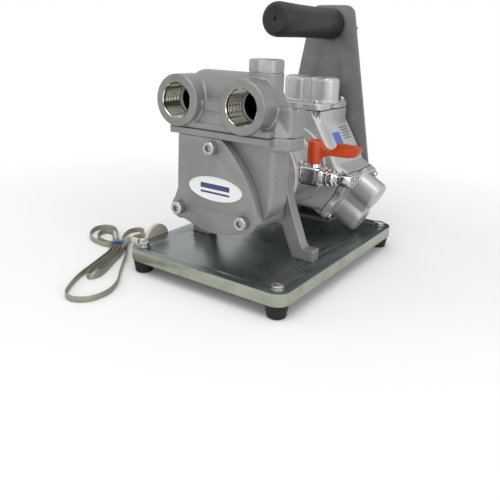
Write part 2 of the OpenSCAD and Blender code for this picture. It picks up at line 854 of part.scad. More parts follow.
module port_manifold() {
    color([0.66, 0.67, 0.66]) difference() {
        manifold_solid();
        for (x = [port_left_x, port_right_x]) port_bore(x);
        for (side = [-1, 1]) rod_z(side * way_x, way_y, manifold_z - 1, port_z - chamber_r / 2, way_r);
        rod_z(cap_x, cap_y, relief_seat_z, cap_seat_z + 1, relief_bore_r);
        rod_z(cap_x, cap_y, port_z, relief_seat_z + 1, relief_bore_r - 4);
        rod_x(cap_y, relief_seat_z + bypass_r + 0.5, port_left_x, cap_x, bypass_r);
        rod_z(port_left_x, cap_y, port_z, relief_seat_z + bypass_r + 0.5, bypass_r);
        rod_z(ear_bolt[0], ear_bolt[1], manifold_z - 1, seam_z + ear_h + 1,
            manifold_screw_d / 2 + screw_slip);
        rod_z(ear_bolt[0], ear_bolt[1], ear_seat_z, seam_z + ear_h + 1,
            manifold_screw_d * 0.8125 + slip);
        for (p = rear_screw_places) {
            rod_z(p[0], p[1], manifold_z - 1, manifold_flange_top + 1, manifold_screw_d / 2 + screw_slip);
            rod_z(p[0], p[1], manifold_flange_top, cross_z + cross_r, manifold_screw_d * 0.8125 + 1);
        }
    }
}

module manifold_gasket() {
    color([0.25, 0.3, 0.28]) difference() {
        union() {
            flange_block(seam_z, manifold_z);
            ear(seam_z, manifold_z);
        }
        for (side = [-1, 1]) rod_z(side * way_x, way_y, seam_z - 1, manifold_z + 1, way_r);
        for (p = manifold_screw_places)
            rod_z(p[0], p[1], seam_z - 1, manifold_z + 1, manifold_screw_d / 2 + screw_slip);
    }
}

module manifold_screws() {
    color("silver") {
        translate([ear_bolt[0], ear_bolt[1], ear_seat_z])
            socket_screw(manifold_screw_d, ear_seat_z - seam_z + manifold_thread_l);
        for (p = rear_screw_places) translate([p[0], p[1], manifold_flange_top])
            socket_screw(manifold_screw_d, manifold_flange_top - seam_z + manifold_thread_l);
    }
}

// ---- Relief valve ----------------------------------------------------------

relief_washer_t = 1;
cap_z = cap_seat_z + relief_washer_t;
cap_shank_l = 3.5;
cap_room_r = 8.2;
poppet_r = relief_bore_r - fit;
poppet_t = 3;
stem_r = 3;
spring_r = 6;
spring_low_z = relief_seat_z + poppet_t;
spring_high_z = cap_z + cap_h - 5;
poppet_top_z = spring_high_z - poppet_travel - 0.7;

module relief_cap() {
    color([0.7, 0.71, 0.7]) difference() {
        union() {
            translate([cap_x, cap_y, cap_z]) intersection() {
                linear_extrude(height = cap_h) rotate(8) hexagon(cap_af);
                rotate_extrude() polygon([[0, 0], [cap_af * 0.6, 0], [cap_af * 0.6, cap_h - 2.5],
                    [cap_af * 0.48, cap_h], [0, cap_h]]);
            }
            rod_z(cap_x, cap_y, cap_z - cap_shank_l, cap_z + 1, relief_bore_r - fit);
        }
        rod_z(cap_x, cap_y, cap_z - cap_shank_l - 1, spring_high_z, cap_room_r);
    }
}

module relief_washer() {
    color("peru") difference() {
        rod_z(cap_x, cap_y, cap_seat_z, cap_z, cap_boss_r - 0.8);
        rod_z(cap_x, cap_y, cap_seat_z - 1, cap_z + 1, relief_bore_r);
    }
}

// Coil with its ends set in by half a wire, so that it just touches its seats
module relief_spring() {
    steps = 20;
    wire = spring_wire_d / 2;
    pitch = (spring_high_z - spring_low_z - spring_wire_d - 0.1) / spring_turns;
    rings = [for (i = [0:spring_turns * steps]) let (a = i * 360 / steps)
        [for (k = [0:5]) let (q = -k * 60, r = spring_r + wire * cos(q))
            [cap_x + r * cos(a), cap_y + r * sin(a),
             spring_low_z + 0.05 + wire + pitch * i / steps + wire * sin(q)]]];
    color("gray") skin(rings);
}

module relief_poppet() {
    color("silver") {
        rod_z(cap_x, cap_y, relief_seat_z, spring_low_z, poppet_r);
        rod_z(cap_x, cap_y, relief_seat_z, poppet_top_z, stem_r);
    }
}

// ---- Air motor -------------------------------------------------------------

housing_flange_t = 7;
housing_bore_r = coupling_room_r;
housing_rib_half_w = 2;
housing_rib_h = 1;
inlet_boss_r = 11.5;
inlet_boss_x = 34.5;
silencer_r = 8;
silencer_l = 33;
silencer_af = 17;
silencer_hex_l = 7;

module motor_housing() {
    color([0.68, 0.69, 0.68]) difference() {
        union() {
            rod_y(0, shaft_z, stand_back_y, housing_end_y, housing_r);
            rod_y(0, shaft_z, stand_back_y, stand_back_y + housing_flange_t, flange_r);
            rod_y(0, shaft_z, housing_end_y - housing_flange_t, housing_end_y, flange_r);
            rod_x(inlet_y, inlet_z, 0, inlet_boss_x, inlet_boss_r);
            rod_x(inlet_y, inlet_z, -inlet_boss_x, 0, inlet_boss_r);
            for (a = [30:60:330]) rotate_about_shaft(a)
                block([-housing_rib_half_w, stand_back_y, housing_r - 2],
                    [housing_rib_half_w, housing_end_y, housing_r + housing_rib_h]);
        }
        rod_y(0, shaft_z, stand_back_y - 1, bearing_end_y - motor_bearing_l, housing_bore_r);
        rod_y(0, shaft_z, stand_back_y, bearing_end_y, motor_bearing_r);
        rod_y(0, shaft_z, stand_back_y, housing_end_y + 1, motor_shaft_d / 2 + 4);
        rod_x(inlet_y, inlet_z, housing_bore_r - 5, inlet_boss_x + 1, air_bore_r);
        rod_x(inlet_y, inlet_z, inlet_boss_x - nipple_in, inlet_boss_x + 1, nipple_r);
        rod_x(inlet_y, inlet_z, -inlet_boss_x - 1, -housing_bore_r + 5, air_bore_r);
        rod_x(inlet_y, inlet_z, -inlet_boss_x - 1, -inlet_boss_x + nipple_in, nipple_r);
        for (a = flange_screw_angles)
            flange_hole(a, stand_back_y - 1, stand_back_y + housing_flange_t + 1, screw_slip);
        for (a = rear_flange_angles)
            flange_hole(a, housing_end_y - housing_flange_t - 1, housing_end_y + 1, screw_slip);
    }
}

module rotate_about_shaft(a) {
    translate([0, 0, shaft_z]) rotate([0, a, 0]) children();
}

module flange_place(a, y) {
    translate([flange_screw_circle_r * cos(a), y, shaft_z + flange_screw_circle_r * sin(a)]) children();
}

module housing_screws() {
    color("silver") {
        for (a = flange_screw_angles) flange_place(a, stand_back_y + housing_flange_t) rotate([-90, 0, 0])
            socket_screw(flange_screw_d, housing_flange_t + stand_t + flange_thread_l, 5, 5);
        for (a = rear_flange_angles) flange_place(a, housing_end_y - housing_flange_t) rotate([90, 0, 0])
            socket_screw(flange_screw_d, housing_flange_t + flange_thread_l, 5, 5);
    }
}

head_angles = [0, 120, 240];

module crankcase_outline() {
    for (a = head_angles)
        rotate(-a) translate([-barrel_half_w, 0]) square([2 * barrel_half_w, barrel_end_r]);
    intersection() {
        polygon([for (a = [90, 210, 330]) 2 * crankcase_flat_r * [cos(a), sin(a)]]);
        circle(r = barrel_end_r - 1);
    }
}

crankcase_chamfer = 5;
rear_screw_xz = 24;
rear_screw_d = 8;
rear_screw_in = 14;
head_bolt_d = 5;
head_thread_l = 10;

module head_place(a) {
    translate([0, crank_y, shaft_z]) rotate([0, a, 0]) children();
}

module head_screw_holes(z0, z1, gap) {
    for (sx = [-1, 1], sy = [-1, 1])
        rod_z(sx * head_screw_w, sy * head_screw_d_half, z0, z1, head_bolt_d / 2 + gap);
}

module motor_crankcase() {
    color([0.7, 0.71, 0.7]) difference() {
        slab_y(housing_end_y, crankcase_end_y) translate([0, shaft_z]) crankcase_outline();
        for (a = head_angles) head_place(a + 180) crankcase_edge();
        for (a = head_angles) head_place(a)
            head_screw_holes(barrel_end_r - head_thread_l, barrel_end_r + 1, 0);
        for (a = rear_flange_angles)
            flange_hole(a, housing_end_y - 1, housing_end_y + flange_thread_l + 2, 0);
        for (sx = [-1, 1], sz = [-1, 1])
            rod_y(sx * rear_screw_xz, shaft_z + sz * rear_screw_xz, crankcase_end_y - rear_screw_in - 2,
                crankcase_end_y + 1, rear_screw_d / 2);
        rod_y(0, shaft_z, housing_end_y - 1, motor_shaft_end_y + 1, motor_shaft_d / 2 + 4);
    }
}

// Rounds the front and rear edge of one flat face of the crankcase
module crankcase_edge() {
    half = crankcase_l / 2;
    r = crankcase_chamfer;
    for (s = [-1, 1]) scale([1, s, 1]) difference() {
        block([-40, -half - 1, crankcase_flat_r - r], [40, -half + r, crankcase_flat_r + 9]);
        rod_x(-half + r, crankcase_flat_r - r, -41, 41, r);
    }
}

head_corner_r = 8;
side_scallop_r = 17;
end_scallop_r = 15;
scallop_depth = 3;
head_web_half_w = 11;

// Flange with an ear at each corner and a hollow between each two ears
module head_flange_2d() {
    difference() {
        rounded_rect(2 * barrel_half_w, crankcase_l, head_corner_r);
        for (s = [-1, 1]) {
            translate([s * (barrel_half_w + side_scallop_r - scallop_depth), 0])
                circle(r = side_scallop_r, $fn = 48);
            translate([0, s * (crankcase_l / 2 + end_scallop_r - scallop_depth)])
                circle(r = end_scallop_r, $fn = 48);
        }
    }
}

module head_gasket() {
    translate([0, 0, barrel_end_r]) difference() {
        linear_extrude(height = head_gasket_t) head_flange_2d();
        head_screw_holes(-1, head_gasket_t + 1, screw_slip);
    }
}

head_low = barrel_end_r + head_gasket_t;
head_flange_top = head_low + head_flange_t;

module dome() {
    rotate_extrude() {
        polygon([[0, head_flange_top - 1], [dome_r + 1.5, head_flange_top - 1],
            [dome_r + 1.5, head_flange_top + 0.5], [dome_r, head_flange_top + 2],
            [dome_r, dome_end_r - dome_round], [dome_r - dome_round, dome_end_r], [0, dome_end_r]]);
        translate([dome_r - dome_round, dome_end_r - dome_round]) circle(r = dome_round, $fn = 32);
    }
}

module cylinder_head() {
    difference() {
        union() {
            translate([0, 0, head_low]) linear_extrude(height = head_flange_t) head_flange_2d();
            for (s = [-1, 1]) translate([s * dome_offset, 0, 0]) dome();
            block([-dome_offset, -head_web_half_w, head_flange_top - 1],
                [dome_offset, head_web_half_w, dome_end_r - 1.5]);
            for (sx = [-1, 1], sy = [-1, 1])
                rod_z(sx * head_screw_w, sy * head_screw_d_half, head_flange_top - 1,
                    head_flange_top + 0.8, head_bolt_d);
        }
        head_screw_holes(head_low - 1, head_flange_top + 2, screw_slip);
    }
}

module cylinder_head_top() {
    color([0.7, 0.71, 0.7]) head_place(head_angles[0]) cylinder_head();
}

module cylinder_head_right() {
    color([0.7, 0.71, 0.7]) head_place(head_angles[1]) cylinder_head();
}

module cylinder_head_left() {
    color([0.7, 0.71, 0.7]) head_place(head_angles[2]) cylinder_head();
}

module head_gaskets() {
    color([0.2, 0.22, 0.2]) for (a = head_angles) head_place(a) head_gasket();
}

module head_screws() {
    l = head_flange_t + 0.8 + head_gasket_t + head_thread_l - 1;
    color("silver") for (a = head_angles, sx = [-1, 1], sy = [-1, 1]) head_place(a)
        translate([sx * head_screw_w, sy * head_screw_d_half, head_flange_top + 0.8])
            socket_screw(head_bolt_d, l, 4.2, 3.4);
}

rear_cover_r = 43;

module rear_screw_holes(y0, y1) {
    for (sx = [-1, 1], sz = [-1, 1])
        rod_y(sx * rear_screw_xz, shaft_z + sz * rear_screw_xz, y0, y1, rear_screw_d / 2 + screw_slip);
}

module motor_rear_cover() {
    color([0.66, 0.67, 0.66]) difference() {
        rod_y(0, shaft_z, crankcase_end_y, bracket_y, rear_cover_r);
        rear_screw_holes(crankcase_end_y - 1, bracket_y + 1);
    }
}

// Sintered cone on a hexagon, at the exhaust side
module exhaust_silencer() {
    x0 = -inlet_boss_x;
    color("darkgoldenrod") {
        rod_x(inlet_y, inlet_z, x0 - 1, x0 + nipple_in - 1, nipple_r - fit);
        translate([x0 - silencer_hex_l, inlet_y, inlet_z]) rotate([0, 90, 0])
            linear_extrude(height = silencer_hex_l) hexagon(silencer_af);
        turned_x(inlet_y, inlet_z) polygon([[0, x0 - silencer_hex_l + 1],
            [silencer_r, x0 - silencer_hex_l + 1], [silencer_r, x0 - silencer_hex_l - 5],
            [silencer_r - 1, x0 - silencer_l + 3],
            [silencer_r - 4, x0 - silencer_l], [0, x0 - silencer_l]]);
    }
}

// ---- Air inlet -------------------------------------------------------------

nipple_r = 6.5;
nipple_in = 8;
valve_in_x = valve_x - valve_w / 2;
valve_out_x = valve_x + valve_w / 2;
stem_d = 6;
gland_h = 4;
valve_top_z = inlet_z + valve_w / 2 - 1;
lever_z = valve_top_z + gland_h;
seat_x = 5;
seat_out_x = 8.5;
seat_r = 8.5;
valve_nose_r = 8.2;

module inlet_nipple() {
    ring_x = inlet_boss_x;
    color("silver") difference() {
        union() {
            rod_x(inlet_y, inlet_z, inlet_boss_x - nipple_in + 1, ring_x + 1, nipple_r - fit);
            turned_x(inlet_y, inlet_z) polygon([[0, ring_x], [8, ring_x], [8, ring_x + 0.6],
                [9.6, ring_x + 0.8], [9.6, valve_in_x - 0.8], [8.8, valve_in_x], [0, valve_in_x]]);
        }
        rod_x(inlet_y, inlet_z, 0, valve_x, air_bore_r);
    }
}

module valve_body() {
    half = valve_w / 2;
    color([0.8, 0.8, 0.82]) difference() {
        union() {
            intersection() {
                block([valve_in_x, inlet_y - half, inlet_z - half],
                    [valve_out_x, inlet_y + half, valve_top_z]);
                translate([0, inlet_y, inlet_z]) rotate([45, 0, 0])
                    cube([4 * valve_x, 2 * half * 1.24, 2 * half * 1.24], center = true);
            }
            rod_z(valve_x, inlet_y, valve_top_z - 1, valve_top_z + gland_h - 0.5, hub_r - 1.5);
        }
        rod_x(inlet_y, inlet_z, valve_in_x - 1, valve_out_x + 1, air_bore_r);
        rod_x(inlet_y, inlet_z, valve_x - seat_out_x, valve_out_x + 1, seat_r);
        rod_z(valve_x, inlet_y, inlet_z, lever_z + 1, stem_d / 2 + fit);
        rod_z(valve_x, inlet_y, inlet_z, inlet_z + ball_r + 0.7, stem_d / 2 + 1.2);
    }
}

module valve_seats() {
    color("white") translate([valve_x, 0, 0]) for (s = [-1, 1]) turned_x(inlet_y, inlet_z) difference() {
        translate([air_bore_r, (s * (seat_x + seat_out_x) - seat_out_x + seat_x) / 2])
            square([seat_r - air_bore_r, seat_out_x - seat_x]);
        circle(r = ball_r + fit, $fn = 96);
    }
}

slot_w = 2.5;
slot_z = inlet_z + ball_r - 2;

module valve_ball() {
    color("silver") difference() {
        translate([valve_x, inlet_y, inlet_z]) sphere(r = ball_r, $fn = 96);
        rod_x(inlet_y, inlet_z, 0, 2 * valve_x, air_bore_r);
        block([valve_x - 9, inlet_y - slot_w / 2, slot_z], [valve_x + 9, inlet_y + slot_w / 2, slot_z + 9]);
    }
}

nut_af = 8;
nut_h = 3;
nut_floor_z = lever_z + hub_h - 5;

module valve_stem() {
    color("silver") {
        rod_z(valve_x, inlet_y, inlet_z + ball_r + 0.2, nut_floor_z, stem_d / 2);
        rod_z(valve_x, inlet_y, nut_floor_z - 1, nut_floor_z + nut_h + 1, stem_d / 2 - 1);
        intersection() {
            rod_z(valve_x, inlet_y, slot_z + 0.2, inlet_z + ball_r + 1, stem_d / 2 - 0.2);
            block([0, inlet_y - slot_w / 2 + 0.02, slot_z],
                [2 * valve_x, inlet_y + slot_w / 2 - 0.02, lever_z]);
        }
    }
}

// Side view of the lever, measured from its hinge and from the foot of its hub
module lever_side() {
    tip = lever_reach;
    arm_z = 10.5;
    arm_h = 13;
    difference() {
        polygon([[0, 6.5], [hub_r, 6.5], [hub_r + 10, arm_z], [tip - 12, arm_z + 0.5],
            [tip - 5, arm_z + 2], [tip - 1.2, arm_z + 6.5], [tip, arm_z + arm_h - 3],
            [tip - 2, arm_z + arm_h - 0.8], [23.5, arm_z + arm_h + 0.3], [22, hub_h],
            [hub_r, hub_h], [0, hub_h]]);
        translate([15.5, hub_h + 2.6]) circle(r = 11, $fn = 48);
    }
}

module valve_lever() {
    color("orangered") translate([valve_x, inlet_y, lever_z]) difference() {
        union() {
            rotate_extrude() polygon([[0, 0], [hub_r, 0], [hub_r, hub_h - 1.5],
                [hub_r - 1.5, hub_h], [0, hub_h]]);
            intersection() {
                translate([0, lever_t / 2, 0]) rotate([90, 0, 0])
                    linear_extrude(height = lever_t) lever_side();
                translate([lever_reach - 60, 0, 0]) cylinder(r = 60, h = 60, $fn = 96);
            }
        }
        translate([0, 0, -1]) cylinder(d = stem_d, h = hub_h - 3);
        translate([0, 0, hub_h - 5]) cylinder(r = 5.6, h = 9);
    }
}

module lever_nut() {
    color("silver") difference() {
        translate([valve_x, inlet_y, nut_floor_z]) linear_extrude(height = nut_h) hexagon(nut_af);
        rod_z(valve_x, inlet_y, nut_floor_z - 1, nut_floor_z + 9, stem_d / 2 - 1);
    }
}

// Quick plug: collar, hexagon, ball groove and nose
module air_plug() {
    x0 = valve_out_x;
    end = x0 + plug_l;
    color([0.82, 0.82, 0.84]) difference() {
        union() {
            rod_x(inlet_y, inlet_z, x0 - 1.5 + slip, x0 + 1, seat_r - fit);
            turned_x(inlet_y, inlet_z) polygon([[0, x0], [valve_nose_r, x0], [valve_nose_r, x0 + 2],
                [valve_nose_r - 1, x0 + 3], [valve_nose_r - 1, x0 + 4.5], [valve_nose_r + 0.8, x0 + 5],
                [valve_nose_r + 0.8, x0 + 8], [valve_nose_r - 1, x0 + 8.5], [valve_nose_r - 1, x0 + 10],
                [valve_nose_r + 0.3, x0 + 10.5], [valve_nose_r + 0.3, x0 + 13.5],
                [plug_r + 0.8, x0 + 15], [plug_r + 0.8, x0 + 17], [plug_r - 1, x0 + 18],
                [plug_r - 1, x0 + 21], [plug_r + 0.8, x0 + 22.5], [plug_r + 0.8, end - 1.5],
                [plug_r, end], [0, end]]);
        }
        rod_x(inlet_y, inlet_z, x0 - 5, end + 1, air_bore_r);
        rod_x(inlet_y, inlet_z, end - 2.5, end + 1, air_bore_r + 1);
    }
}

// ---- Handle ----------------------------------------------------------------

bracket_top_z = plate_top + bracket_h;
grip_z = bracket_top_z - grip_drop;
bracket_low_z = plate_top + 36;
bracket_low_half_w = bracket_top_half_w + bracket_flare * (bracket_top_z - bracket_low_z);
bracket_corner_r = 12;
bracket_foot_screw_x = 20;
bracket_screw_d = 8;
bracket_foot_t = bracket_t;
bump_z = bracket_top_z - 26;

module bracket_outline() {
    c = bracket_top_half_w - bracket_corner_r - 1;
    shoulder = bracket_top_half_w + bracket_flare * bracket_corner_r;
    polygon([[-bracket_low_half_w, bracket_low_z], [bracket_low_half_w, bracket_low_z],
        [shoulder, bracket_top_z - bracket_corner_r], [c, bracket_top_z - bracket_corner_r],
        [c, bracket_top_z], [-c, bracket_top_z], [-c, bracket_top_z - bracket_corner_r],
        [-shoulder, bracket_top_z - bracket_corner_r]]);
    for (s = [-1, 1]) {
        translate([s * (shoulder - bracket_corner_r - 0.3), bracket_top_z - bracket_corner_r])
            circle(r = bracket_corner_r);
        translate([s * (bracket_top_half_w + bracket_flare * (bracket_top_z - bump_z) - 2), bump_z])
            circle(r = 3.2, $fn = 32);
    }
    polygon([[-bracket_low_half_w, bracket_low_z + eps], [-bracket_foot_half_w - 14, bracket_low_z - 14],
        [-bracket_foot_half_w, bracket_low_z - 18], [-bracket_foot_half_w, plate_top],
        [bracket_foot_half_w, plate_top], [bracket_foot_half_w, bracket_low_z - 18],
        [bracket_foot_half_w + 14, bracket_low_z - 14], [bracket_low_half_w, bracket_low_z + eps]]);
}

module handle_bracket() {
    color([0.55, 0.56, 0.56]) difference() {
        union() {
            slab_y(bracket_y, bracket_back_y) bracket_outline();
            block([-bracket_foot_half_w, bracket_y - bracket_foot_l, plate_top],
                [bracket_foot_half_w, bracket_back_y - 1, plate_top + bracket_foot_t]);
        }
        rear_screw_holes(bracket_y - 1, bracket_back_y + 1);
        rod_y(0, grip_z, bracket_y - 1, bracket_back_y + 1, handle_bolt_d / 2 + screw_slip);
        for (s = [-1, 1])
            rod_z(s * bracket_foot_screw_x, bracket_foot_y, plate_top - 1, plate_top + bracket_foot_t + 1,
                bracket_screw_d / 2 + screw_slip);
    }
}

module bracket_screws() {
    color("silver") {
        for (sx = [-1, 1], sz = [-1, 1])
            translate([sx * rear_screw_xz, bracket_back_y, shaft_z + sz * rear_screw_xz]) rotate([-90, 0, 0])
                socket_screw(rear_screw_d, bracket_t + rear_cover_t + rear_screw_in);
        for (s = [-1, 1])
            translate([s * bracket_foot_screw_x, bracket_foot_y, plate_top + bracket_foot_t])
                socket_screw(bracket_screw_d, bracket_foot_t + plate_t - 1);
    }
}

grip_front_y = bracket_y - grip_l;
cap_l = 6;
cap_disc_r = 10.5;
bolt_seat_y = grip_front_y + cap_l + 6;
nut_depth = 0.75 * handle_bolt_d;

// Bolt head in a recess behind the end cap, thread end behind the bracket
module handle_bolt() {
    color("dimgray") translate([0, bolt_seat_y, grip_z]) rotate([90, 0, 0])
        socket_screw(handle_bolt_d, bracket_back_y + nut_depth - bolt_seat_y, 7, 5);
}

module handle_nut() {
    color("silver") difference() {
        slab_y(bracket_back_y, bracket_back_y + nut_depth)
            translate([0, grip_z]) hexagon(1.7 * handle_bolt_d);
        rod_y(0, grip_z, bracket_y, bracket_back_y + 20, handle_bolt_d / 2);
    }
}

module handle_grip() {
    y0 = grip_front_y + cap_l;
    color([0.1, 0.1, 0.1]) difference() {
        turned_y(0, grip_z) {
            polygon([[0, y0], [grip_r - 0.6, y0], [grip_r, y0 + 0.8], [grip_r - 0.7, y0 + 45],
                [grip_r - 0.7, bracket_y - 45], [grip_r, bracket_y - 3], [grip_r - 2.5, bracket_y],
                [0, bracket_y]]);
        }
        rod_y(0, grip_z, y0 - 1, bracket_y + 1, handle_bolt_d / 2 + fit);
        rod_y(0, grip_z, y0 - 1, bolt_seat_y, 7.5);
    }
}

module grip_end_cap() {
    y0 = grip_front_y;
    color([0.06, 0.06, 0.06]) difference() {
        turned_y(0, grip_z) {
            polygon([[0, y0 + cap_l], [0, y0 + 0.6], [cap_disc_r, y0 + 0.6], [grip_r - 5, y0],
                [grip_r - 2, y0 + 1.2], [grip_r - 0.3, y0 + 4], [grip_r - 0.3, y0 + cap_l]]);
        }
        rod_y(0, grip_z, y0 - 1, y0 + 3, 2);
    }
}

// Blank label on the flat face beside the lever
label_w = 29;
label_l = 57;
label_in = 12;
label_t = 0.3;

module data_label() {
    color("white") head_place(head_angles[1] - 60)
        block([-label_w + 8, -crankcase_l / 2 + label_in, crankcase_flat_r],
            [8, -crankcase_l / 2 + label_in + label_l, crankcase_flat_r + label_t]);
}

// ---- Bonding strap ---------------------------------------------------------

lug_at = [-foot_x, -foot_y];
lug_end_x = -plate_w / 2 - 5;
lug_barrel_z = plate_top + 3;

module strap_lug() {
    color("silver") {
        difference() {
            union() {
                rod_z(lug_at[0], lug_at[1], plate_top, plate_top + lug_t, foot_screw_d * 1.1);
                block([lug_end_x + 9, lug_at[1] - 3.5, plate_top],
                    [lug_at[0], lug_at[1] + 3.5, plate_top + lug_t]);
            }
            rod_z(lug_at[0], lug_at[1], plate_top - 1, plate_top + 9, foot_screw_d / 2 + screw_slip);
        }
        block([lug_end_x, lug_at[1] - 1.9, plate_top], [lug_end_x + 9.5, lug_at[1] + 1.9, plate_top + 6]);
    }
}

// The strap lies on edge. Seven strands pass side by side through the tie.
strap_lie = strap_w / 2 + 0.2;
tie_at = [-140, -93, 7];
tie_along = [0.65, -0.76];
tie_across = [0.76, 0.65];
strand_pitch = strap_t + 0.6;
strands = 7;
magnet_y = -82;
magnet_z = 21;
magnet_x = -plate_w / 2 - magnet_t;
magnet_end_x = magnet_x - 7;

// Four points of strand k through the tie, in the order of travel, fanned out at both ends
function strand(k, towards, in_z = 5.5, out_z = 5.5) = [
    for (q = [[-11, in_z, 1.5], [-4, tie_at[2], 1], [4, tie_at[2], 1], [11, out_z, 1.5]]) let (
        p = [tie_at[0], tie_at[1]] + q[0] * towards * tie_along
            + (k - 3) * strand_pitch * q[2] * tie_across
    ) [p[0], p[1], q[1]]];

function laid(points) = [for (p = points) [p[0], p[1], strap_lie]];

route = concat(
    [[lug_end_x, lug_at[1], lug_barrel_z], [-103, -115.5, 28], [-110, -113, 23], [-116, -109, 17.5],
     [-123, -104.5, 13]],
    strand(5, -1, 9, 5.5),
    laid([[-150, -66], [-153, -48], [-160, -36], [-169, -35], [-173, -45], [-168, -59], [-158, -73]]),
    strand(4, 1),
    laid([[-126, -107], [-117, -124], [-108, -141], [-102, -156], [-104, -166], [-112, -163],
     [-119, -148], [-126, -130], [-134, -111]]),
    strand(1, -1),
    laid([[-160, -90], [-174, -90], [-187, -84], [-195, -73], [-193, -64], [-184, -64], [-171, -75],
     [-158, -83]]),
    strand(2, 1),
    laid([[-130.5, -112], [-122, -130], [-114, -147], [-109, -155], [-106, -151], [-112, -140],
     [-121, -124], [-129, -110]]),
    strand(3, -1),
    laid([[-163, -76], [-178, -62], [-193, -52], [-206, -53], [-211, -65], [-204, -80], [-191, -91],
     [-174, -96], [-158, -95]]),
    strand(0, 1),
    laid([[-138, -113], [-131, -130], [-123, -150], [-114, -172], [-103, -191], [-91, -206], [-77, -208],
     [-66, -197], [-65, -178], [-74, -159], [-91, -139], [-108, -118]]),
    strand(6, -1, 5.5, 8),
    [[-138, -72, 10.5], [-132, -72, 13], [-126, -76, 16], [-116, -81, 20],
     [magnet_end_x - 4, magnet_y, magnet_z], [magnet_end_x, magnet_y, magnet_z]]
);

// A smooth curve through the route's points
route_steps = 4;
function smooth(a, b, c, d, t) =
    0.5 * (2 * b + (c - a) * t + (2 * a - 5 * b + 4 * c - d) * t * t + (3 * b - a - 3 * c + d) * t * t * t);
route_n = len(route);
line = [for (i = [0:route_n - 2], s = [0:route_steps - (i < route_n - 2 ? 1 : 0)])
    smooth(route[max(i - 1, 0)], route[i], route[i + 1], route[min(i + 2, route_n - 1)], s / route_steps)];
line_n = len(line);

function unit(v) = v / norm(v);
function heading(i) = unit(line[min(i + 1, line_n - 1)] - line[max(i - 1, 0)]);

// The flat braid's section: thin across, wide upwards
strap_section = [[0.5, 0.43], [0, 0.5], [-0.5, 0.43], [-0.5, -0.43], [0, -0.5], [0.5, -0.43]];
function strap_ring(i) = let (
        h = heading(i),
        side = i == 0 || i == line_n - 1 ? [0, 1, 0] : unit([-h[1], h[0], 0]),
        rise = i == 0 || i == line_n - 1 ? [0, 0, 1] : unit(cross(h, side)),
        flip = side * [-h[1], h[0], 0] < 0 ? -1 : 1
    )
    [for (q = strap_section)
        line[i] + flip * q[0] * strap_t * side + q[1] * strap_w * abs(rise[2]) / rise[2] * rise];

module bonding_strap() {
    color([0.7, 0.7, 0.64]) skin([for (i = [0:line_n - 1]) strap_ring(i)]);
}

// Least gap between parts of the strap that are not neighbours
function flat_gap(p, a, b) = let (
        ab = [b[0] - a[0], b[1] - a[1]],
        t = max(0, min(1, ([p[0] - a[0], p[1] - a[1]] * ab) / (ab * ab))),
        q = a + t * (b - a)
    )
    max(norm([p[0] - q[0], p[1] - q[1]]) - strap_t, abs(p[2] - q[2]) - strap_w);
echo(least_strap_gap = min([for (i = [0:line_n - 1], j = [i + 6:line_n - 2])
    flat_gap(line[i], line[j], line[j + 1])]));
echo(strap_length = [for (i = [1:line_n - 1]) norm(line[i] - line[i - 1])] * [for (i = [1:line_n - 1]) 1]);

module strap_tie() {
    w = strands * strand_pitch + 1.2;
    h = strap_w + 1.2;
    color("royalblue") translate(tie_at) rotate([0, 0, atan2(tie_across[1], tie_across[0])])
        rotate([90, 0, 0]) translate([0, 0, -2.6]) linear_extrude(height = 5.2) difference() {
            rounded_rect(w + 2.6, h + 2.6, 3);
            rounded_rect(w, h, 1);
        }
}

module strap_magnet() {
    color([0.72, 0.68, 0.66]) {
        turned_x(magnet_y, magnet_z) polygon([[0, magnet_x], [magnet_r - 1, magnet_x],
            [magnet_r, magnet_x + 1], [magnet_r, magnet_x + magnet_t - 0.6],
            [magnet_r - 0.6, magnet_x + magnet_t], [0, magnet_x + magnet_t]]);
        block([magnet_end_x, magnet_y - 2, magnet_z - 4], [magnet_x + 1, magnet_y + 2, magnet_z + 4]);
    }
}

base_plate();
rubber_feet();
foot_screws();
foot_washers();
pump_stand();
stand_screws();
pump_body();
cover_gasket();
front_cover();
cover_screws();
badge_plate();
inner_rotor();
outer_rotor();
drive_shaft();
rotor_key();
front_bush();
rear_bush();
shaft_seal();
pump_hub();
motor_hub();
coupling_spider();
motor_shaft();
motor_bearing();
port_manifold();
manifold_gasket();
manifold_screws();
relief_cap();
relief_washer();
relief_spring();
relief_poppet();
motor_housing();
housing_screws();
motor_crankcase();
cylinder_head_top();
cylinder_head_right();
cylinder_head_left();
head_gaskets();
head_screws();
motor_rear_cover();
exhaust_silencer();
inlet_nipple();
valve_body();
valve_seats();
valve_ball();
valve_stem();
valve_lever();
lever_nut();
air_plug();
handle_bracket();
bracket_screws();
handle_bolt();
handle_nut();
handle_grip();
grip_end_cap();
data_label();
strap_lug();
bonding_strap();
strap_tie();
strap_magnet();
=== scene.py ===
# %% [markdown]
# # A portable air-driven transfer pump
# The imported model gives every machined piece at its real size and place. This script
# dresses it: it rounds the castings as sand casting does, cuts bright threads into the
# ports, lays the braided bonding strap and gives every piece its finish. Only the relief
# cap is turned a little on its own axis. The rest stays at its size and place, so the
# pump still works as it was built.

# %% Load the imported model
import json
import math

import bmesh
import bpy
from mathutils import Matrix, Vector


